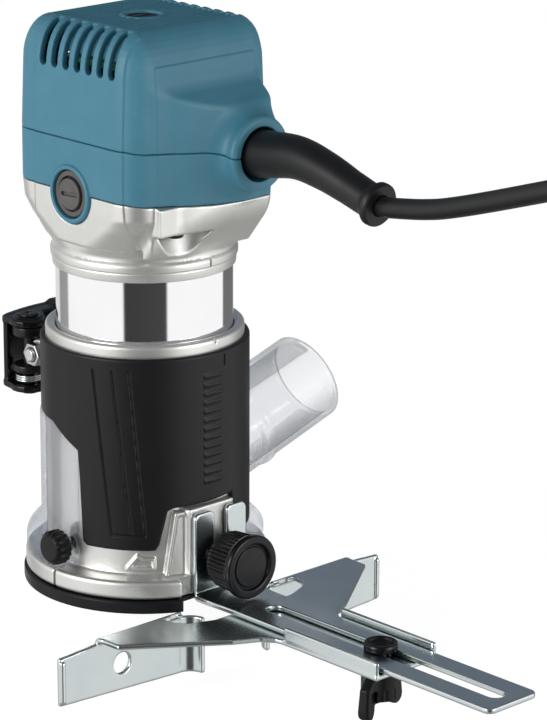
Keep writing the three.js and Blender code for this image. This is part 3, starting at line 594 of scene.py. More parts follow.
HEAD_HALF = 34.2
HEAD_CORNER = 11.0
HEAD_TOP = 212.0
CROWN_Z = 196.0
SEAM_Z = 171.0
HEAD_LOW_Z = 152.2
DROP_FROM_Y = -27.5
DROP = 0.182
BLOCK_FRONT = -42.9
SEAM_HALF = 0.16
SHELL = 2.3
BRUSH_Z = 151.3
CORD_X, CORD_Z = 12.0, 167.0
BOSS_R, BOSS_FRONT = 13.7, -50.0
VENT_FIRST_Y, VENT_STEP, VENT_COUNT = 15.5, 6.2, 7
VENT_HALF, VENT_LOW, VENT_INNER = 1.75, 195.6, 24.2
RIB_PITCH = 3.1
PLATEAU_X, PLATEAU_Y = 22.6, 24.6
DIAL_R = 6.6

SCREW_X, SCREW_Y, SCREW_HOLE_R = 12.8, 31.3, 2.2
CLAMP_SCREW_X, CLAMP_SCREW_Y = 6.6, -27.5
PANEL_FROM_Y, PANEL_TO_Y = -27.5, 20.0
TOWER_R, TOWER_INNER, CAP_HOLE_R = 10.7, 29, 8.9

# Side outline of the head: distance in from its vertical wall, and height.
HEAD_OUTLINE = (
    [(-60.0, 120.0), (0.0, 120.0), (0.0, 172.0), (-0.9, CROWN_Z)]
    + [(22.5 + 10.8 * math.cos(a) - HEAD_HALF, CROWN_Z + 16 * math.sin(a))
       for a in np.radians(range(10, 91, 10))]
    + [(-60.0, HEAD_TOP)]
)


def seam_height(y, at_rest):
    """A parting line that is level behind and falls towards the cord."""
    return at_rest - DROP * np.maximum(0, DROP_FROM_Y - y)


def cord_block(p):
    """The block on the front of the head, with the round boss of the cord."""
    x, y, z = p
    front = BLOCK_FRONT - y
    angled = -(0.465 * (x + 25.0) + 0.885 * (y + 32.6))
    body = both(front, angled, 7.0)
    body = both(body, x - 24.8, 3.5)
    body = both(body, -25.2 - x, 1.0)
    slope = 0.751 * (z - 183.8) - 0.66 * (y + 43.0)
    body = both(body, slope, 1.3)
    body = both(body, y + 28.0)
    boss = post(x, z, y, (CORD_X, CORD_Z), BOSS_R, BOSS_FRONT, -28, 1.8)
    return join(body, boss, 6.5)


def head_solid(p):
    x, y, z = p
    body = polygon(square(x, y, HEAD_HALF, HEAD_CORNER), z, HEAD_OUTLINE)
    side_panel = both(both(body - 0.4, slab(y, PANEL_FROM_Y, PANEL_TO_Y), 0.2), 24.6 - np.abs(x), 0.2)
    front_panel = both(both(body - 0.45, slab(x, -23.4, 23.4), 0.25), np.maximum(y + 25, z - 200.4), 0.5)
    return join(either(body, side_panel, front_panel), cord_block(p), 2.2)


def head_hollow(p):
    x, y, z = p
    return polygon(square(x, y, HEAD_HALF, HEAD_CORNER), z, HEAD_OUTLINE) + SHELL


def brush_tower(p):
    x, y, z = p
    return both(np.hypot(y, z - BRUSH_Z) - TOWER_R, slab(np.abs(x), TOWER_INNER, 35.6), 0.9)


def brush_ways(p, radius):
    """The two round ways for the brushes, one on each side."""
    return np.hypot(p[1], p[2] - BRUSH_Z) - radius


def head_cuts(p):
    """Vents, cord way, brush ways, dial and switch openings as one solid."""
    x, y, z = p
    number = np.clip(np.round((VENT_FIRST_Y - y) / VENT_STEP), 0, VENT_COUNT - 1)
    across = y - VENT_FIRST_Y + VENT_STEP * number
    low_end = np.hypot(across, np.minimum(z - VENT_LOW - VENT_HALF, 0)) - VENT_HALF
    vents = both(low_end, np.maximum(VENT_INNER - np.abs(x), np.abs(x) - 40))
    cord = post(x, z, y, (CORD_X, CORD_Z), 9.85, -60, -20)
    brushes = both(brush_ways(p, CAP_HOLE_R), 20 - np.abs(x))
    dial = post(x, y, z, (0, 0), DIAL_R, 200, 220)
    return either(vents, cord, brushes, dial, block(p, (-9.6, 28, 180.4), (9.6, 40, 194.6), 1.2))


def plateau(p):
    """The ribbed field sunk into the top, with a rim round the dial."""
    x, y, z = p
    field = np.maximum(np.abs(x) - PLATEAU_X, np.abs(y) - PLATEAU_Y)
    ribs = HEAD_TOP - 0.75 + 0.6 * np.cos(2 * np.pi * y / RIB_PITCH)
    sunk = both(field, 0.75 * (ribs - z), 0.2)
    return cut(sunk, post(x, y, z, (0, 0), DIAL_R + 1.5, 200, HEAD_TOP - 0.1, 0.3))


def head_wall(p):
    x, y, z = p
    outside = cut(either(head_solid(p), brush_tower(p)), plateau(p))
    hollow = cut(head_hollow(p), brush_tower(p))
    return cut(cut(outside, hollow), head_cuts(p), 0.45)


def top_cover(p):
    """The cover, with ribs under its roof that stiffen it and close the view between the vents."""
    x, y, z = p
    rib = both(np.abs(np.abs(np.abs(x) - 16.0) - 4.5) - 0.9, np.maximum(np.abs(y) - 29, 198.6 - z))
    rib = both(rib, head_hollow(p) - 0.5)
    shell = either(head_wall(p), cut(rib, np.hypot(x, y) - 8))
    return both(shell, seam_height(y, SEAM_Z) + SEAM_HALF - z, 0.2)


def screw_ways(p):
    """The clearance of the four housing screws."""
    return np.hypot(np.abs(p[0]) - SCREW_X, np.abs(p[1]) - SCREW_Y) - SCREW_HOLE_R


def lower_housing(p):
    x, y, z = p
    shell = both(head_wall(p), z - seam_height(y, SEAM_Z) + SEAM_HALF, 0.2)
    skirt = either(seam_height(y, HEAD_LOW_Z) - z, np.maximum(brush_ways(p, 10.8), 28 - np.abs(x)))
    shell = both(shell, skirt, 0.2)
    arm = either(np.maximum(np.abs(x) - 33, np.abs(y) - 2.5), np.maximum(np.abs(y) - 33, np.abs(x) - 2.5))
    spider = both(arm, slab(z, 162.5, 168), 0.6)
    spider = join(spider, post(x, y, z, (0, 0), 12.5, 161.7, 169.5, 0.5), 1.0)
    spider = cut(spider, either(post(x, y, z, (0, 0), 9.8, 162.6, 180), np.hypot(x, y) - 6))
    posts = both(np.hypot(np.abs(x) - SCREW_X, np.abs(y) - 31.0) - 4, slab(z, 151.2, 157))
    clamp_screws = np.hypot(np.abs(x - CORD_X) - CLAMP_SCREW_X, y - CLAMP_SCREW_Y)
    clamp_posts = both(clamp_screws - 2.8, slab(z, 156, 170.8))
    holes = either(both(screw_ways(p), slab(z, 140, 159)), both(clamp_screws - 1.9, slab(z, 150, 175)))
    return cut(either(shell, spider, posts, clamp_posts), holes)


carved("top_cover", "shell", "teal_plastic", top_cover, (-36.5, -52, 163), (36.5, 36.5, 213), 0.42)
carved("lower_housing", "shell", "teal_plastic", lower_housing, (-36.5, -52, 139), (36.5, 36.5, 173), 0.42)


# ---- bearing housing

HOUSING_Z = [121.0, 127.4, 128.6, 130.0, 132.0, 136.4, 140.5, 145.5, 152.0]
HOUSING_HALF = [34.0, 34.0, 33.5, 33.4, 33.6, 33.8, 34.0, 34.2, 34.2]
HOUSING_CORNER = [34.0, 34.0, 33.3, 33.0, 30.6, 24.0, 18.0, 12.5, 11.0]
SCOOPS = ((-12.8, -37.6), (12.8, 37.6), (-12.8, 37.6))
SCOOP_R = 8.3
SCOOP_STRETCH = 1.4
SCOOP_SLOPE = 0.36
LEDGE_Z = 139.8
COLLAR_Z = 128.1
CAN_TOP = 127.3
BORE_R = 32.8


def housing_outside(p):
    x, y, z = p
    half = graded(z, HOUSING_Z, HOUSING_HALF)
    corner = graded(z, HOUSING_Z, HOUSING_CORNER)
    narrowing = -0.78 * (y - BLOCK_FRONT) - 0.62 * (z - 144.5)
    bulge = both(both(cord_block(p), narrowing, 4.0), 131.0 - z)
    body = join(square(x, y, half, corner), bulge, 2.0)
    side_panel = both(body - 0.35, slab(y, PANEL_FROM_Y, PANEL_TO_Y), 0.2)
    body = either(body, both(side_panel, np.maximum(25 - np.abs(x), 133 - z), 0.2))
    lug = both(np.maximum(slab(x, -24.6, -2.6), -(y + 37.2)), np.maximum(LEDGE_Z - z, y + 25), 0.8)
    lug = both(lug, square(x, y, 38.0, 16.0))
    return both(join(body, lug, 0.8), COLLAR_Z - z)


def screw_scoop(p, centre):
    """A half-round recess under the ledge for a housing screw, its wall leaning out as it goes down."""
    x, y, z = p
    across = np.hypot((x - centre[0]) / SCOOP_STRETCH, y - centre[1])
    return across - SCOOP_R + SCOOP_SLOPE * (LEDGE_Z - z)


def bearing_housing(p):
    x, y, z = p
    body = both(housing_outside(p), z - seam_height(y, HEAD_LOW_Z) + 0.3, 0.25)
    hollow_half = graded(z, [127.6, 140.0, 152.0], [29.5, 31.3, 31.6])
    hollow_corner = graded(z, [127.6, 140.0, 152.0], [29.4, 15.5, 9.0])
    hollow = both(square(x, y, hollow_half, hollow_corner), CAN_TOP + 0.3 - z)
    for centre in SCOOPS:
        scoop = screw_scoop(p, centre)
        body = cut(body, both(scoop, np.maximum(z - LEDGE_Z, 128.6 - z), 0.3), 0.5)
        hollow = cut(hollow, both(scoop - 3.0, z - LEDGE_Z - 1.6))
    body = cut(body, hollow)
    bosses = np.maximum(np.abs(np.abs(x) - SCREW_X) - 5.6, np.abs(np.abs(y) - 29.4) - 3.4)
    body = either(body, both(bosses, slab(z, LEDGE_Z, 150.6), 0.4))
    body = cut(body, both(np.hypot(x, y) - BORE_R, z - CAN_TOP - 0.3))
    body = cut(body, both(brush_ways(p, 11.0), 20 - np.abs(x)), 0.3)
    return cut(body, both(screw_ways(p), slab(z, 139, 156)))


COLLAR = [
    (BORE_R, COLLAR_Z + 0.4, 0), (BORE_R, 121.0, 0.3), (33.5, 121.0, 0.3), (33.8, 123.9, 0.2),
    (33.6, 124.3, 0.1), (34.25, 124.6, 0.4), (34.35, 127.0, 0.9), (33.5, COLLAR_Z + 0.05, 0.2),
    (33.2, COLLAR_Z + 0.4, 0), (BORE_R, COLLAR_Z + 0.4, 0),
]


def nicked(angle, r, h):
    """A small index notch in the bead."""
    return -0.5 * (np.abs(np.degrees(angle) - 272.5) < 0.6) * (r > 34)


collar = open_ring("bearing_housing_collar", COLLAR, upright(0, 0), 480, nicked)
dress(collar, "cast_aluminium", body="motor_unit")
carved("bearing_housing", "casting", "cast_aluminium", bearing_housing, (-36, -46, 127.5), (36, 46, 153),
       0.42)


# ---- base casting

TUBE_R = 36.6
BAND_R = 38.0
BASE_TOP = 98.5
FLANGE_R = 45.0
FLANGE_TOP = 12.0
SOLE_TOP = 4.7
PAD_Y = -38.9
CLAMP_SCREW_Z = 17.0
THUMB_SCREW_Z = 20.2
CLAMP_BOLT_Y, CLAMP_BOLT_Z = 44.0, 78.5
CAM_X, CAM_Y = -13.5, 51.0
PINION_AT, PINION_Z = 40.0, 80.0
RACK_TURN = -45.0
SOLE_SCREW_AT = 27

# Lower edge of the rubber grip: bearing in degrees and height in millimetres, all in one turn from EDGE_FROM.
EDGE_FROM = 90
GRIP_EDGE = [
    (112.0, 65.5), (167.0, 64.8), (188.4, 57.2), (189.6, 46.5), (191.3, 23.2), (194.0, 21.6), (233.8, 21.5),
    (236.0, 23.7), (240.8, 36.4), (244.0, 37.4), (270.0, 38.0), (283.5, 38.6), (284.5, 24.0), (286.0, 21.6),
    (320.6, 21.6), (323.0, 23.2), (325.4, 46.5), (326.6, 57.2), (349.0, 64.8), (388.0, 65.5),
]
ARC = math.radians(1) * BAND_R


def unrolled(points):
    return [(a * ARC, z) for a, z in points]


FRAME_RIB = unrolled([(239.6, 11.0), (245.2, 35.2), (256.4, 35.6), (256.4, 11.0)])
ARROW = unrolled([(218.0, 14.6), (233.0, 14.6), (233.0, 18.2), (227.4, 18.2), (224.0, 19.4), (218.0, 14.6)])


def cam_pin_way(p, radius):
    return np.hypot(p[0] - CAM_X, p[1] - CAM_Y) - radius


def sole_hole(p, radius, low, high):
    x, y, z = p
    across = np.hypot(np.abs(x) - SOLE_SCREW_AT, np.abs(y) - SOLE_SCREW_AT)
    return both(across - radius, slab(z, low, high))


def base_outside(p):
    x, y, z = p
    reach = np.hypot(x, y)
    around = bearing_of(x, y, EDGE_FROM) * ARC
    tube = both(reach - TUBE_R, slab(z, SOLE_TOP + 0.3, BASE_TOP), 1.5)
    flange = both(reach - FLANGE_R, slab(z, SOLE_TOP + 0.3, FLANGE_TOP), 1.6)
    body = join(tube, flange, 0.8)
    below = unrolled([(190.8, 0.0)] + [(a, z0 - 0.4) for a, z0 in GRIP_EDGE[4:17]] + [(325.6, 0.0)])
    front = both(both(reach - BAND_R, polygon(around, z, below), 0.7), SOLE_TOP + 1 - z)
    body = join(body, cut(front, 30.0 - reach), 0.8)
    reliefs = (
        (trail(around, z, FRAME_RIB) - 0.75, 39.5, 0.5, 0.7),
        (polygon(around, z, FRAME_RIB), 38.6, 0.4, 0.3),
        (trail(around, z, ARROW) - 0.55, 38.4, 0.25, 0.2),
    )
    for outline, top, edge, foot in reliefs:
        body = join(body, both(outline, slab(reach, 34, top), edge), foot)
    pad = block(p, (-13, PAD_Y, SOLE_TOP + 0.3), (8.4, -30, 37), 0.5)
    pad = join(pad, block(p, (-13, PAD_Y, SOLE_TOP + 0.3), (13, -30, 20.8), 0.5), 0.4)
    return either(join(body, pad, 1.0), base_back(p))


def base_back(p):
    """Clamp lugs and nut boss at the back, and the boss of the depth pinion."""
    x, y, z = p
    lugs = block(p, (-8, 33.0, 66.2), (8, 50, 88), 2.0)
    lugs = join(lugs, post(y, z, x, (CLAMP_BOLT_Y, CLAMP_BOLT_Z), 5.2, -14.6, -7, 0.6), 0.8)
    u, v, w = turned_about(p, RACK_TURN)
    boss = block((u, v, w), (-9, 33.5, PINION_Z - 8), (9, 47.5, PINION_Z + 8), 2.2)
    wall = np.hypot(x, y) - TUBE_R + 0.5
    return both(join(join(lugs, wall, 2.0), boss, 2.0), slab(z, SOLE_TOP + 1, 97))


def base_cuts(p):
    """Bore, window, guide seat, slits, rack way and holes as one solid."""
    x, y, z = p
    reach = np.hypot(x, y)
    window = both(slab(bearing_of(x, y, -180) * ARC, -30 * ARC, 122 * ARC), slab(z, 14, 58), 2.5)
    u, v, w = turned_about(p, RACK_TURN)
    return either(
        both(reach - BORE_R, FLANGE_TOP + 0.3 - z),
        reach - 25.0,
        both(window, 29 - reach),
        block(p, (-18.6, -60, 0), (18.6, PAD_Y, FLANGE_TOP + 1), 0.3),
        block(p, (-0.8, 28, 57), (0.8, 54, 110), 0.2),
        block(p, (-50, -0.45, 0), (-39.3, 0.45, FLANGE_TOP + 1)),
        post(y, z, x, (CLAMP_BOLT_Y, CLAMP_BOLT_Z), 2.8, -16, 9),
        cam_pin_way(p, 2.3),
        post(x, z, y, (0, CLAMP_SCREW_Z), 3.2, -45, -28),
        post(y, z, x, (0, THUMB_SCREW_Z), 2.3, -45, -28),
        block((u, v, w), (-3.6, 26, FLANGE_TOP), (3.6, 34.7, 110)),
        post(v, w, u, (PINION_AT, PINION_Z), 5.6, -6.4, 6.4),
        post(v, w, u, (PINION_AT, PINION_Z), 3.3, -12, 12),
        sole_hole(p, 2.1, 0, 10.5),
    )


def base_casting(p):
    x, y, z = p
    body = cut(base_outside(p), base_cuts(p), 0.35)
    reach = np.hypot(x, y)
    chamfer = both(reach - BORE_R - 1.0, BASE_TOP - 0.9 - z, 0.3)
    nick = np.maximum(np.abs(bearing_of(x, y) - 273.0) - 0.5, np.maximum(96.5 - z, 35.6 - reach))
    return cut(cut(body, chamfer, 0.4), nick)


def clamp_ears(p):
    """The two ears of the casting that hold the lever's pin, drawn in black: partly the lever's own black
    parts, partly painted shade for the dark inside of the lever.
    """
    x, y, z = p
    arm = np.maximum(slab(x, CAM_X, -7.9), slab(y, 45, 50.2))
    plan = join(cam_pin_way(p, 6.0), arm, 1.5)
    ears = either(both(plan, slab(z, 84, 88), 0.7), both(plan, slab(z, 70, 73), 0.7))
    return cut(ears, cam_pin_way(p, 2.3), 0.3)


carved("base_casting", "surface", "cast_aluminium", base_casting, (-46, -46, 4.5), (49, 52, 99.5), 0.45)
# The ears take a black material that is partly painted shade, standing for the dark inside of the lever round
# them.
dress(carve("base_casting_ears", clamp_ears, (-20, 44, 69), (-7, 58, 89), 0.4), "black_steel", body="base")


# ---- rubber grip

GRIP_R = 38.5
GRIP_INNER_R = 36.9
GRIP_TOP = 94.0
GRIP_LINES = [
    ((199.6, 89.0), (209.7, 27.8)), ((210.7, 89.0), (220.8, 27.8)), ((219.9, 89.0), (228.2, 27.8)),
    ((209.7, 27.2), (228.2, 27.2)),
]
RIB_FIRST_Z, RIB_STEP, RIB_LAST = 46.0, 3.3, 12
LINE_HALF, LINE_DEPTH = 0.36, 0.5


def grip_sleeve(p):
    x, y, z = p
    reach = np.hypot(x, y)
    around = bearing_of(x, y, EDGE_FROM) * ARC
    outline = polygon(around, z, unrolled([(112.0, GRIP_TOP)] + GRIP_EDGE + [(388.0, GRIP_TOP)]))
    body = both(both(outline, reach - GRIP_R, 0.9), GRIP_INNER_R - reach)
    for ends in GRIP_LINES:
        line = trail(around, z, unrolled(ends)) - LINE_HALF
        body = cut(body, np.maximum(line, GRIP_R - LINE_DEPTH - reach), 0.2)
    up = z - RIB_FIRST_Z
    up = up - RIB_STEP * np.clip(np.round(up / RIB_STEP), 0, RIB_LAST)
    ribs = both(np.abs(up) - 0.75, slab(around, 262.0 * ARC, 275.0 * ARC), 0.4)
    ribs = both(ribs, reach - GRIP_R - 0.35, 0.3)
    body = join(body, both(ribs, 37.5 - reach), 0.2)
    mark = both(slab(around, 276.4 * ARC, 277.4 * ARC), slab(z, 88.0, 92.4), 0.1)
    return cut(body, np.maximum(mark, GRIP_R - 0.6 - reach))


carved("grip_sleeve", "surface", "grip_rubber", grip_sleeve, (-39.5, -39.5, 21), (39.5, 39.5, 94.5), 0.36)


# ---- sole

def sub_base(p):
    x, y, z = p
    reach = np.hypot(x, y)
    body = both(reach - 45.8, slab(z, 0, SOLE_TOP), 0.5)
    body = cut(body, reach - 17, 0.5)
    body = cut(body, block(p, (-18.6, -60, -5), (18.6, PAD_Y, 10), 0.2), 0.3)
    body = cut(body, block(p, (-18, -45, -5), (18, -33, 2.5), 0.3), 0.3)
    body = cut(body, sole_hole(p, 2.1, -1, 6))
    body = cut(body, sole_hole(p, 4.0, -1, 2.7), 0.3)
    groove = both(np.abs(reach - 41.5) - 0.5, z - 0.5, 0.1)
    return cut(body, groove)


carved("sub_base", "surface", "black_plastic", sub_base, (-46.5, -46.5, -0.5), (46.5, 46.5, 5.2), 0.45)


# ---- clear dust nozzle

LIP_ENDS = 169.0
HOSE_TILT = math.radians(18.2)
HOSE_LENGTH = 55.0
NOZZLE_LIP = [
    (30.0, 12.3), (44.6, 12.3), (44.6, 17.0), (43.9, 19.3), (42.6, 21.0), (40.6, 22.4), (39.5, 23.6),
    (39.0, 26.0), (39.0, 64.6), (30.0, 64.6),
]


def hose_axes(p):
    """Distance along the hose outlet and across it."""
    x, y, z = p[0] - 30, p[1], p[2] - 42.1
    c, s = math.cos(HOSE_TILT), math.sin(HOSE_TILT)
    return x * c + z * s, np.hypot(z * c - x * s, y)


def dust_nozzle(p):
    x, y, z = p
    reach = np.hypot(x, y)
    bearing = bearing_of(x, y, -120)
    wall = polygon(reach, z, NOZZLE_LIP)
    top = graded(bearing, [-33, -9.5, 166, 190], [56.0, 64.6, 64.6, 57.0])
    wall = both(wall, both(slab(bearing * ARC, -32 * ARC, 188 * ARC), z - top, 2.0), 0.3)
    along, across = hose_axes(p)
    pipe = both(across - 17.5, slab(along, 2, HOSE_LENGTH), 0.7)
    collar = both(across - 18.3, slab(along, 17.5, 20.5), 0.7)
    wall = np.where(bearing > LIP_ENDS, np.maximum(wall, reach - 39.3), wall)
    shell = join(wall, join(pipe, collar, 0.8), 2.2)
    shell = cut(shell, reach - 37.0, 0.3)
    shell = cut(shell, both(across - 15.5, slab(along, -6, 80)), 0.4)
    shell = cut(shell, post(y, z, x, (0, THUMB_SCREW_Z), 8.4, -50, -39.3), 0.4)
    return cut(shell, post(y, z, x, (0, THUMB_SCREW_Z), 2.4, -45, -30))


carved("dust_nozzle", "shell", "clear_plastic", dust_nozzle, (-45.5, -40, 11.8), (91, 45.5, 79), 0.55)


# ---- cam lever

LEVER_IN, LEVER_OUT = 54.0, 62.5


def lever_plan():
    eye = arc((CAM_X, CAM_Y), 7.4, 150, 300)
    back = arc((0, 0), LEVER_IN, 92, 42, 12)
    return arc((0, 0), LEVER_OUT, 42, 103, 14) + [(CAM_X - 5.5, CAM_Y + 9)] + eye + [(-4, LEVER_IN)] + back


def cam_lever(p):
    x, y, z = p
    reach, bearing = np.hypot(x, y), bearing_of(x, y)
    plan = polygon(x, y, lever_plan())
    webs = either(both(plan, slab(z, 63, 65.6), 0.6), both(plan, slab(z, 88.4, 91), 0.6))
    span = math.radians(1) * 60
    wall = both(both(slab(bearing * span, 42 * span, 108 * span), slab(z, 63, 91), 3.0),
                slab(reach, 60.0, LEVER_OUT), 0.7)
    handle = both(both(slab(bearing * span, 42 * span, 87 * span), slab(z, 65, 92.6), 2.5),
                  slab(reach, 55, LEVER_OUT), 1.6)
    ribs = bearing * span - 60 * span
    ribs = ribs - 5.0 * np.clip(np.round(ribs / 5.0), -3, 3)
    grip = both(both(np.abs(ribs) - 1.0, slab(z, 69, 88.5), 0.6), slab(reach, 58, LEVER_OUT + 0.6), 0.5)
    body = join(join(join(webs, wall, 0.8), handle, 0.8), grip, 0.5)
    rim = both(np.abs(cam_pin_way(p, 4.6)) - 0.7, slab(z, 90, 91.6), 0.3)
    return cut(join(body, rim, 0.3), cam_pin_way(p, 2.4), 0.3)


carved("cam_lever", "surface", "gloss_black", cam_lever, (-27, 30, 62.5), (50, 64, 93.5), 0.45)


# ---- straight guide

SHEET = 2.1
BAR_LOW, BAR_HIGH = 2.4, 4.5
BAR_HALF, BAR_END = 12.1, -187.5
LIP_TOP = 7.0
SLOT_FAR_Y, SLOT_NEAR_Y, SLOT_HALF = -178.6, -70.4, 3.4
UPRIGHT_Y = PAD_Y - 0.3 - SHEET / 2
BOLT_Y = -124.0
FENCE_Y = -43.0


def guide_bracket(p):
    x, y, z = p
    mid = (BAR_LOW + BAR_HIGH) / 2
    bend = arc((UPRIGHT_Y - 2.2, mid + 2.2), 2.2, 0, -90, 6)
    line = [(UPRIGHT_Y, 60.0)] + bend + [(-220.0, mid)]
    sheet = trail(y, z, line) - SHEET / 2
    width = graded(y, [-60, -46], [BAR_HALF, 12.6])
    tip = both(both(np.abs(x) - width, BAR_END - y, 3.0), z - 35.5, 0.3)
    prongs = both(np.abs(np.abs(x) - 7.7) - 4.9, z - 35.5, 2.6)
    fork = np.where(z > 13.5, prongs, tip)
    body = both(sheet, fork, 0.5)
    throat = both(np.hypot(x, np.minimum(z - 13, 0)) - 2.8, -50 - y)
    body = cut(body, throat, 0.4)
    slot = both(np.hypot(x, y - np.clip(y, SLOT_FAR_Y, SLOT_NEAR_Y)) - SLOT_HALF, z - 10)
    body = cut(body, slot, 0.45)
    return np.maximum(body, slab(z, BAR_LOW - 0.05, 36))


carved("guide_bracket", "sheet", "zinc_plate", guide_bracket, (-13, -188, 2), (13, -38.5, 36), 0.45)

PLATE_THICK = 1.9
PLATE_TOP = BAR_LOW - 0.3
CURL_X, CURL_R = 22.7, 6.5
FENCE_HOLE_X, FENCE_HOLE_Z = 50.2, -10.6
HALF_PLAN = [
    (15.0, -137.0), (15.0, -92.0), (15.8, -87.5), (19.0, -83.0), (28.3, -78.2), (61.3, -54.6), (61.8, -38.0),
    (33.5, -38.0), (31.5, -50.5), (28.5, -54.8), (18.8, -58.5),
]
HALF_FENCE = [
    (CURL_X, 8.0), (33.5, 8.0), (61.8, 8.0), (61.8, -0.4), (66.0, -0.8), (79.0, -1.6), (79.0, -19.5),
    (CURL_X, -22.2),
]
PLAN = HALF_PLAN + [(-x, y) for x, y in reversed(HALF_PLAN)]


def guide_plate(p):
    """Sheet bent down into the two fences, each curled at its inner end, with lips up along the bar."""
    x, y, z = p
    side = np.abs(x)
    mid = PLATE_TOP - PLATE_THICK / 2
    bend = arc((FENCE_Y - 2.0, mid - 2.0), 2.0, 90, 0, 6)
    sheet = trail(y, z, [(-200.0, mid)] + bend + [(FENCE_Y, -40.0)]) - PLATE_THICK / 2
    flat = both(polygon(x, y, PLAN), -6 - z, 1.0)
    tall = polygon(side, z, HALF_FENCE)
    outline = np.where(y > -46.2, np.where(z > -1.2, np.minimum(flat, tall), tall), flat)
    body = both(sheet, outline, 0.6)
    wing = both(both(tall, slab(side, 61.5, 79.2), 0.8), np.abs(y - FENCE_Y) - PLATE_THICK / 2, 0.7)
    body = either(body, wing)
    ridge = both(both(np.abs(side - 77.9) - 1.0, slab(z, -18.6, -2.6), 0.9), slab(y, -45.0, -42.2), 0.8)
    body = join(body, ridge, 0.4)
    across, ahead = side - CURL_X, y - (FENCE_Y - CURL_R)
    curl = np.abs(np.hypot(across, ahead) - CURL_R) - PLATE_THICK / 2
    curl = both(both(curl, np.maximum(across - 0.6, -ahead)), slab(z, -22.2, -0.5), 0.7)
    body = join(body, curl, 0.3)
    lips = both(both(np.abs(side - 14.05) - 0.93, slab(y, -137, -90), 1.2), slab(z, 0.3, LIP_TOP), 0.9)
    body = join(body, lips, 0.6)
    hole = both(np.hypot(side - FENCE_HOLE_X, z - FENCE_HOLE_Z) - 4.0, slab(y, -52, -38))
    body = cut(body, hole, 0.4)
    body = cut(body, post(x, y, z, (0, BOLT_Y), 3.2, -3, 6), 0.3)
    return both(body, y - (FENCE_Y + PLATE_THICK / 2 + 0.02))


carved("guide_plate", "sheet", "zinc_plate", guide_plate, (-80, -138, -23), (80, -41.5, 7.5), 0.45)

WING_TURN = 17
WING_OUTLINE = (
    [(2.0, -3.0), (8.6, -3.6), (12.2, -7.0)] + arc((9.7, -15.4), 3.4, 10, -170, 8)
    + [(6.2, -11.0), (2.0, -10.0)]
)


def wing_nut(p):
    x, y, z = turned_about(p, WING_TURN, (0, BOLT_Y))
    hub = both(np.hypot(x, y) - 6.9, slab(z, -13, -0.3), 1.0)
    thick = graded(z, [-22, -8], [2.9, 2.3])
    wing = both(polygon(np.abs(x), z, WING_OUTLINE), np.abs(y) - thick, 1.7)
    body = join(hub, wing, 1.8)
    flutes = np.abs((np.degrees(np.arctan2(y, x)) % 30) - 15) - 3.5
    body = cut(body, both(flutes * 0.12, np.maximum(6.5 - np.hypot(x, y), z + 8.5), 0.2), 0.3)
    return cut(body, np.hypot(x, y) - 3.2, 0.4)


carved("wing_nut", "body", "black_plastic", wing_nut, (-15, BOLT_Y - 15, -26), (15, BOLT_Y + 15, 0), 0.4)


def fluted(count, depth, low, high, sharp):
    """Grip flutes for a turned piece, between two heights."""
    def shape(angle, r, h):
        wave = np.abs(np.cos(angle * count / 2)) ** sharp
        return -depth * wave * (low < h < high)
    return shape


KNOB = [
    (0, -57.6, 0), (7.4, -57.6, 0.3), (7.7, -57.1, 0.2), (8.3, -57.1, 0.2), (8.6, -58.1, 0.3),
    (9.2, -58.5, 0.4), (11.4, -58.5, 0.7), (12.0, -57.8, 0.5), (12.0, -56.0, 0.5), (11.4, -55.2, 0.2),
    (11.3, -54.9, 0), (11.3, -54.2, 0), (10.9, -46.6, 0), (10.8, -45.6, 0), (10.0, -44.6, 0.5),
    (8.2, -44.0, 0.4), (5.2, -43.8, 0.4), (5.0, -41.9, 0.2), (2.4, -41.8, 0.2), (2.4, -33.5, 0.3),
    (0, -33.5, 0),
]
knob_flutes = fluted(46, 0.75, -55.0, -45.5, 0.6)
guide_knob = turned("guide_knob_body", KNOB, along_y(0, CLAMP_SCREW_Z), 480, knob_flutes)
dress(guide_knob, "gloss_black", "guide_knob")

THUMB = [
    (0, -47.5, 0), (4.6, -47.5, 0.5), (6.3, -46.2, 0.6), (6.4, -45.8, 0), (6.4, -41.8, 0), (6.1, -41.2, 0.3),
    (4.0, -39.8, 0.4), (1.95, -39.8, 0.1), (1.95, -33.6, 0.3), (0, -33.6, 0),
]


def knurl(angle, r, h):
    """Coarse rounded ridges, fading out at the rim of the face."""
    fade = np.clip((h + 47.3) / 1.2, 0, 1) * (h < -41.0)
    return -0.55 * np.abs(np.cos(angle * 9)) ** 0.7 * fade * (r > 4.5)


dress(turned("nozzle_thumbscrew_body", THUMB, along_x(0, THUMB_SCREW_Z), 288, knurl), "black_plastic",
      "nozzle_thumbscrew")

BOLT = [
    (0, -14, 0), (2.85, -14, 0.4), (2.85, 4.8, 0.2), (6.0, 4.8, 0.3), (6.2, 6.6, 0.4), (5.7, 7.6, 0.4),
    (4.9, 7.5, 0.3), (4.2, 6.3, 0.5), (2.4, 5.7, 0.4), (0, 5.7, 0),
]
dress(turned("guide_bolt_body", BOLT, upright(0, BOLT_Y), 96), "gloss_black", "guide_bolt")


# ---- clamp hardware at the back

CLAMP = [
    (0, -19.5, 0), (2.5, -19.5, 0.5), (2.5, 8.3, 0.1), (4.6, 8.3, 0.3), (4.6, 12, 0.8), (2.4, 12, 0.3),
    (2.2, 9.8, 0.2), (0, 9.6, 0),
]


def bolt_thread(angle, r, h):
    return -0.12 * np.sin(h * 9) * (h < -8) * (r > 2)


dress(turned("clamp_bolt_body", CLAMP, along_x(CLAMP_BOLT_Y, CLAMP_BOLT_Z), 64, bolt_thread), "steel",
      "clamp_bolt")


def hexagon_distance(u, v, flats):
    a, b = np.abs(u), np.abs(v)
    return np.maximum(a * 0.866 + b * 0.5, b) - flats / 2


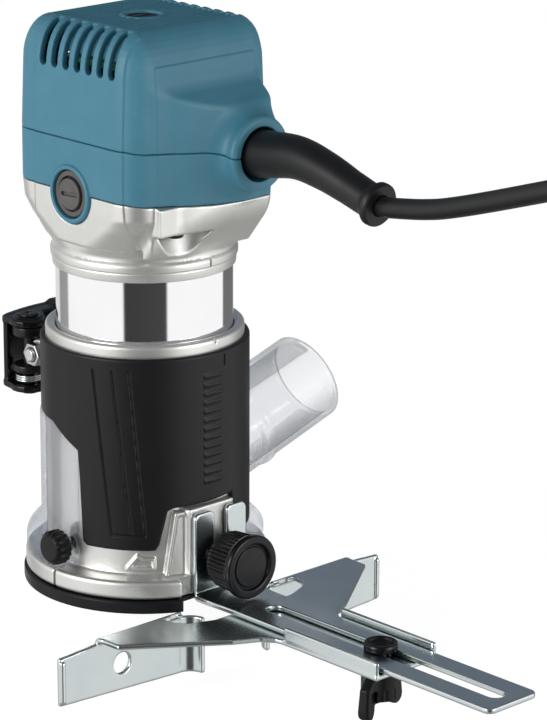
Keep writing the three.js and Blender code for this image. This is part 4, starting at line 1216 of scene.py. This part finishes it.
def clamp_nut(p):
    x, y, z = p
    y, z = y - CLAMP_BOLT_Y, z - CLAMP_BOLT_Z
    body = both(hexagon_distance(y, z, 8.0), slab(x, -18.4, -14.9), 0.3)
    cone = np.hypot(y, z) - 4.5 - 0.9 * (x + 18.4)
    return cut(both(body, cone, 0.1), np.hypot(y, z) - 2.8, 0.3)


carved("clamp_nut", "body", "steel", clamp_nut, (-18.6, 39, 73), (-14.7, 49, 84), 0.25)

PIN = [
    (0, 61.6, 0), (3.4, 61.6, 0.4), (3.4, 62.6, 0.2), (2.0, 62.7, 0.1), (2.0, 91.4, 0.1), (3.6, 91.4, 0.2),
    (3.6, 92.6, 0.5), (1.4, 92.6, 0.2), (1.1, 91.8, 0.2), (0, 91.8, 0),
]
dress(turned("cam_pin_body", PIN, upright(CAM_X, CAM_Y), 48), "black_steel", "cam_pin")


def coil(name, centre, radius, wire, low, high, turns):
    """A spring of round wire."""
    steps = int(turns * 28)
    t = np.linspace(0, 1, steps)
    around = 2 * np.pi * turns * t
    line = np.stack([radius * np.cos(around), radius * np.sin(around), low + (high - low) * t], 1)
    ahead = np.gradient(line, axis=0)
    ahead /= np.linalg.norm(ahead, axis=1, keepdims=True)
    out = np.stack([np.cos(around), np.sin(around), np.zeros(steps)], 1)
    up = np.cross(ahead, out)
    angles = np.linspace(0, 2 * np.pi, 12, endpoint=False)[:, None]
    rings = [c + wire * (np.cos(angles) * o + np.sin(angles) * u) for c, o, u in zip(line, out, up)]
    return skin(name, rings, upright(*centre))


spring = coil("lever_spring_wire", (CAM_X, CAM_Y), radius=4.9, wire=0.42, low=66.5, high=69.2, turns=3.2)
dress(spring, "zinc_plate", "lever_spring")


# ---- depth rack and pinion

CAN_R = 32.5
RACK_PITCH = 2 * math.pi * 5.2 / 10
RACK_TOOTH_Z = 54.4
TO_PINION = Matrix.Rotation(math.radians(RACK_TURN), 4, "Z") @ along_x(PINION_AT, PINION_Z)


def depth_rack(p):
    u, v, w = turned_about(p, RACK_TURN)
    wave = np.clip(1.4 * np.cos(2 * np.pi * (w - RACK_TOOTH_Z) / RACK_PITCH), -0.5, 0.5)
    bar = both(slab(u, -3, 3), slab(w, 52, 109), 0.5)
    return both(bar, slab(v, CAN_R + 0.2, CAN_R + 1.45 + 0.35 * wave), 0.2)


carved("depth_rack", "teeth", "steel", depth_rack, (19, 19, 51.5), (28, 28, 109.5), 0.3)


def pinion_teeth(angle, r, h):
    return (-0.7 + 0.7 * np.clip(2.2 * np.cos(10 * angle), -1, 1)) * (r > 4)


SHAFT = [
    (0, -9, 0), (2.9, -9, 0.4), (2.9, -6, 0), (5.2, -6, 0.2), (5.2, 6, 0.2), (2.9, 6, 0), (2.9, 32, 0.4),
    (0, 32, 0),
]
dress(turned("pinion_shaft_body", SHAFT, TO_PINION, 160, pinion_teeth), "steel", "pinion_shaft")

DEPTH_KNOB = [
    (3.2, 22.9, 0), (3.2, 32.4, 0), (3.6, 32.3, 0.2), (6.0, 32.3, 0.6), (6.6, 31.0, 0.4), (7.9, 30.2, 0.4),
    (8.0, 29.8, 0), (8.0, 23.8, 0), (7.8, 23.1, 0.3), (3.2, 22.9, 0),
]
depth_flutes = fluted(24, 0.6, 23.5, 30.0, 0.7)
dress(open_ring("depth_knob_body", DEPTH_KNOB[::-1], TO_PINION, 240, depth_flutes), "black_plastic",
      "depth_knob")


# ---- motor can

CAN_LOW = [
    (8.5, 40.0), (31.4, 40.0), (CAN_R, 41.2), (CAN_R, CAN_TOP), (30.5, CAN_TOP), (30.5, 43.2), (17.0, 43.2),
    (17.0, 52.6), (14.3, 52.6), (14.3, 43.2), (8.5, 43.2),
]
CAN_TUBE = [
    (30.5, 49.9, 0), (CAN_R, 49.9, 0), (CAN_R, CAN_TOP, 0.3), (30.5, CAN_TOP, 0.3), (30.5, 49.9, 0),
]


def motor_can(p):
    """The closed lower end of the can, with its air outlets."""
    x, y, z = p
    reach = np.hypot(x, y)
    turn = np.radians(np.degrees(np.arctan2(y, x)) % 45 - 22.5)
    outlet = np.hypot(reach * np.cos(turn) - 24, reach * np.sin(turn)) - 3.5
    return both(cut(polygon(reach, z, CAN_LOW), both(outlet, z - 45), 0.4), z - 50)


dress(open_ring("motor_can_tube", CAN_TUBE, upright(0, 0), 256), "polished_aluminium", "motor_can")
dress(carve("motor_can_floor", motor_can, (-33, -33, 39.5), (33, 33, 50), 0.45), "polished_aluminium",
      body="motor_unit")


# ---- brush caps, dial, rocker, screws

CAP_SLOT_TURN = math.radians(4)


def brush_cap(side):
    """A slotted cap: an outer ring, a dark gap, and a speckled face with a straight slot."""
    def field(p):
        x, y, z = p[0] * side, p[1], p[2] - BRUSH_Z
        across = np.hypot(y, z)
        ring = both(across - 8.5, slab(x, 31, 34.6), 0.6)
        neck = both(across - 6.8, slab(x, 28.6, 33), 0.3)
        face = both(across - 5.8, slab(x, 30, 35.4), 0.4)
        body = cut(either(ring, neck, face), both(np.abs(across - 6.15) - 0.38, 32.6 - x), 0.1)
        c, s = math.cos(CAP_SLOT_TURN), math.sin(CAP_SLOT_TURN)
        along, over = y * c - z * s, y * s + z * c
        return cut(body, both(both(np.abs(along) - 4.2, np.abs(over) - 0.72, 0.3), 34.2 - x), 0.1)
    return field


for side, word in ((-1, "left"), (1, "right")):
    low, high = sorted((side * 28.2, side * 36.2))
    corners = (low, -9, BRUSH_Z - 9), (high, 9, BRUSH_Z + 9)
    cap = carve(f"brush_cap_{word}_face", brush_cap(side), *corners, 0.22)
    dress(cap, "black_plastic", f"brush_cap_{word}", look="brush_cap_plastic")


def speed_dial(p):
    x, y, z = p
    across = np.hypot(x, y)
    body = both(across - 6.2, slab(z, 207, 211.0), 0.5)
    notches = (np.degrees(np.arctan2(y, x)) % 20 - 10) * np.maximum(across, 1) * math.radians(1)
    body = cut(body, both(np.abs(notches) - 0.35, np.maximum(5.6 - across, 208 - z), 0.1), 0.15)
    body = cut(body, both(np.abs(across - 4.6) - 0.3, 210.6 - z), 0.1)
    body = cut(body, both(both(np.abs(x) - 4.2, np.abs(y) - 0.55, 0.2), 210.0 - z), 0.2)
    return either(body, both(across - 2.5, slab(z, 203.5, 208), 0.2))


carved("speed_dial", "body", "black_plastic", speed_dial, (-6.5, -6.5, 203), (6.5, 6.5, 211.5), 0.22)


def switch_rocker(p):
    x, y, z = p
    outline = [(30.6, 182.4), (34.4, 182.1), (34.3, 187.5), (36.2, 192.9), (30.6, 192.6)]
    body = both(polygon(y, z, outline), np.abs(x) - 9, 0.7)
    line = both(np.abs(x) - 0.35, np.maximum(np.abs(z - 190.4) - 1.1, 34.5 - y))
    ring = both(np.abs(np.hypot(x, z - 185.0) - 1.1) - 0.3, 34.0 - y)
    return cut(cut(body, line, 0.1), ring, 0.1)


carved("switch_rocker", "body", "gloss_black", switch_rocker, (-9.5, 30, 181.5), (9.5, 36.8, 193.5), 0.3)


def cross_head(name, at, radius, head_low, head_high, stem, stem_top, countersunk=False):
    """A cross-head screw standing along Z, head down."""
    def field(p):
        x, y, z = p
        across = np.hypot(x, y)
        if countersunk:
            cone = 0.8 * (across - radius + 0.9 * (z - head_low - 0.9))
            head = both(both(across - radius, slab(z, head_low, head_high), 0.2), cone, 0.1)
        else:
            head = both(across - radius, slab(z, head_low, head_high), 0.8)
        body = either(head, both(across - stem, slab(z, head_low + 1, stem_top), 0.2))
        u, v = np.abs(x), np.abs(y)
        arms = either(np.maximum(u - 1.9, v - 0.42), np.maximum(v - 1.9, u - 0.42))
        return cut(body, both(arms + 0.25 * (z - head_low), z - head_low - 1.7), 0.1)
    r = radius + 0.3
    made = carve(name, field, (-r, -r, head_low - 0.3), (r, r, stem_top + 0.3), 0.22)
    made.data.transform(Matrix.Translation((at[0] * MM, at[1] * MM, 0)))
    return made


for number, (a, b) in enumerate(((1, 1), (-1, 1), (-1, -1), (1, -1)), 1):
    node = f"sub_base_screw_{number}"
    screw = cross_head(node + "_body", (a * SOLE_SCREW_AT, b * SOLE_SCREW_AT), 3.5, 0.9, 2.6, 1.75, 10, True)
    dress(screw, "steel", node)
for number, (a, b) in enumerate(((-1, -1), (1, -1), (1, 1), (-1, 1)), 1):
    node = f"housing_screw_{number}"
    screw = cross_head(node + "_body", (a * SCREW_X, b * SCREW_Y), 3.2, 137.6, 141.2, 1.9, 156)
    dress(screw, "black_steel", node)


# ---- collet nut

NUT_LOW, NUT_HIGH = 23.5, 36.5


def collet_nut(p):
    x, y, z = p
    across = np.hypot(x, y)
    body = both(hexagon_distance(y, x, 17.0), slab(z, NUT_LOW, NUT_HIGH), 0.3)
    body = both(body, across - 9.6, 0.3)
    body = both(body, across - 8.7 - 0.9 * (z - NUT_LOW), 0.2)
    body = both(body, across - 8.9 - 0.9 * (NUT_HIGH - z), 0.2)
    body = cut(body, both(8.2 - across, np.abs(z - 34.0) - 0.5, 0.1), 0.2)
    return cut(cut(body, both(across - 7.3, 26.2 - z), 0.3), across - 5.2, 0.5)


carved("collet_nut", "body", "steel", collet_nut, (-10.3, -10.3, 23), (10.3, 10.3, 37), 0.3)


# ---- cord

CORD_R = 3.6
GUARD_STEPS, CORD_STEPS = 120, 200
GUARD_ALONG = [0, 0.05, 0.8, 0.93, 0.95, 0.962, 0.99, 1.0]
GUARD_RADII = [9.0, 9.25, 6.3, 6.15, 6.6, 7.9, 7.9, 7.2]
GUARD_PATH = [
    (CORD_X, -34, CORD_Z), (CORD_X, -50, 167.3), (CORD_X, -67.6, 169), (CORD_X, -81.8, 166.8),
    (CORD_X, -94.8, 163.1), (CORD_X, -104.7, 160.2), (CORD_X, -109.4, 159.3),
]
CORD_PATH = (
    [(CORD_X, -23, CORD_Z)] + GUARD_PATH
    + [(CORD_X, -113, 159.4), (CORD_X, -121.3, 160.5), (CORD_X, -129.9, 161.9), (CORD_X, -140.2, 164.2),
       (CORD_X, -158.5, 169.7), (CORD_X, -192, 180.6)]
)


def cord_guard():
    line = smooth_line(GUARD_PATH, GUARD_STEPS)
    radii = np.interp(np.linspace(0, 1, GUARD_STEPS), GUARD_ALONG, GUARD_RADII)
    outer = swept_rings(line, radii, 64)
    inner = swept_rings(line, np.full(GUARD_STEPS, CORD_R + 0.35), 64)
    return skin("cord_guard_sleeve", outer + inner[::-1] + outer[:1], capped=False)


dress(cord_guard(), "cord_rubber", "cord_guard")
cable = swept_rings(smooth_line(CORD_PATH, CORD_STEPS), np.full(CORD_STEPS, CORD_R), 48)
dress(skin("power_cord_cable", cable), "cord_rubber", "power_cord")


# ---- pieces shown as the CAD has them

keep("zinc_plate", "cord_clamp_screw_1", "cord_clamp_screw_2", "brush_spring_left", "brush_spring_right")
keep("black_plastic", "cord_clamp", "switch_body", "cooling_fan")
keep("brass", "brush_holder_left", "brush_holder_right")
keep("carbon", "carbon_brush_left", "carbon_brush_right")
keep("lamination_steel", "stator_core", "rotor_core")
keep("copper", "field_coil_front", "field_coil_back", "armature_winding_upper", "armature_winding_lower",
     "commutator")
keep("steel", "lower_bearing", "upper_bearing", "rotor_shaft", "collet_cone")
keep("circuit_board", "controller_board")


# ---- floor, light and camera

FLOOR_Z = -25.7
FLOOR_HALF = 2500.0
CAMERA_AT = (-0.7814, -0.9292, 0.4423)
CAMERA_TURN, CAMERA_DIP, CAMERA_ROLL = -43.33, 16.83, 0.19
CAMERA_LENS = 168.67


def lay_floor():
    steps = np.linspace(-FLOOR_HALF, FLOOR_HALF, 9)
    grid = np.array([(x, y, FLOOR_Z) for x in steps for y in steps])
    first = [9 * i + j for i in range(8) for j in range(8)]
    floor = add_mesh("studio_floor", grid, np.array([(n, n + 9, n + 10, n + 1) for n in first]))
    made, g = new_material("studio_floor")
    paint = g.add("ShaderNodeBsdfDiffuse", Color=(0.9, 0.9, 0.9, 1))
    seen = g.add("ShaderNodeLightPath").outputs["Is Camera Ray"]
    strength = g.math("ADD", 0.8, g.math("MULTIPLY", seen, 0.44))
    glow = g.add("ShaderNodeEmission", Color=(1, 1, 1, 1), Strength=strength)
    g.add("ShaderNodeOutputMaterial", Surface=g.mix_shaders(0.74, paint, glow).outputs[0])
    floor.data.materials.append(made)
    floor.visible_glossy = False


# Brightness of the studio round the object at eye height: bearing as a share of a full turn.
PANELS = [
    (0.0, 0.16), (0.083, 0.16), (0.11, 0.75), (0.235, 0.75), (0.25, 0.30), (0.311, 0.34), (0.318, 0.98),
    (0.558, 1.0), (0.564, 0.045), (0.712, 0.06), (0.718, 1.0), (0.968, 1.0), (0.974, 0.16),
]

# The same above eye height, where level surfaces look.
PANELS_ABOVE = [
    (0.0, (0.16, 0.19, 0.23)), (0.11, (0.17, 0.20, 0.25)), (0.20, (0.20, 0.24, 0.27)), (0.25, 0.55),
    (0.33, 1.0), (0.558, 1.0), (0.564, 0.10), (0.712, 0.10), (0.718, 1.0), (0.90, 1.0),
    (0.94, (0.40, 0.43, 0.45)), (1.0, (0.16, 0.19, 0.23)),
]


def light_room():
    world = bpy.data.worlds.new("studio")
    bpy.context.scene.world = world
    world.use_nodes = True
    g = Graph(world.node_tree)
    way = g.add("ShaderNodeSeparateXYZ", Vector=g.add("ShaderNodeTexCoord").outputs["Generated"])
    turn = g.math("ARCTAN2", way.outputs[1], way.outputs[0])
    turn = g.math("FRACT", g.math("ADD", g.math("DIVIDE", turn, 2 * math.pi), 1.0))
    walls = g.ramp(turn, PANELS)
    above = g.ramp(turn, PANELS_ABOVE)
    walls = g.mix(g.ramp(way.outputs[2], [(0.02, 0.0), (0.10, 1.0)]), walls, above)
    ceiling = g.ramp(way.outputs[2], [(0.40, 0.0), (0.75, 1.0)])
    ground = g.ramp(g.math("MULTIPLY", way.outputs[2], -1.0), [(0.40, 0.0), (0.65, 1.0)])
    colour = g.mix(ceiling, walls, (0.14, 0.15, 0.16, 1))
    colour = g.mix(ground, colour, (0.36, 0.36, 0.35, 1))
    seen = g.add("ShaderNodeLightPath").outputs["Is Camera Ray"]
    colour = g.mix(seen, colour, (1, 1, 1, 1))
    back = g.add("ShaderNodeBackground", Color=colour, Strength=1.0)
    g.add("ShaderNodeOutputWorld", Surface=back.outputs[0])


def area_light(name, at, power, width):
    lamp = bpy.data.lights.new(name, "AREA")
    lamp.shape, lamp.size, lamp.energy = "DISK", width, power
    made = bpy.data.objects.new(name, lamp)
    made.location = at
    made.rotation_mode = "QUATERNION"
    made.rotation_quaternion = (Vector((0, AXIS_Y * MM, 0.1)) - Vector(at)).to_track_quat("-Z", "Y")
    bpy.context.scene.collection.objects.link(made)


def set_camera():
    a, e, r = (math.radians(v) for v in (CAMERA_TURN, CAMERA_DIP, CAMERA_ROLL))
    back = Vector((math.sin(a) * math.cos(e), -math.cos(a) * math.cos(e), math.sin(e)))
    right = Vector((math.cos(a), math.sin(a), 0))
    up = back.cross(right)
    turned_right = math.cos(r) * right + math.sin(r) * up
    turned_up = math.cos(r) * up - math.sin(r) * right
    lens = bpy.data.cameras.new("camera")
    lens.lens, lens.sensor_width, lens.clip_end = CAMERA_LENS, 36.0, 50.0
    made = bpy.data.objects.new("camera", lens)
    axes = Matrix((turned_right, turned_up, back)).transposed().to_4x4()
    made.matrix_world = Matrix.Translation(CAMERA_AT) @ axes
    bpy.context.scene.collection.objects.link(made)
    bpy.context.scene.camera = made


lay_floor()
light_room()
area_light("key", (-1.6, 0.1, 0.6), 15.0, 0.9)
area_light("fill", (0.5, -1.7, 0.35), 9.0, 0.9)
set_camera()
bpy.context.scene.view_settings.view_transform = "Standard"
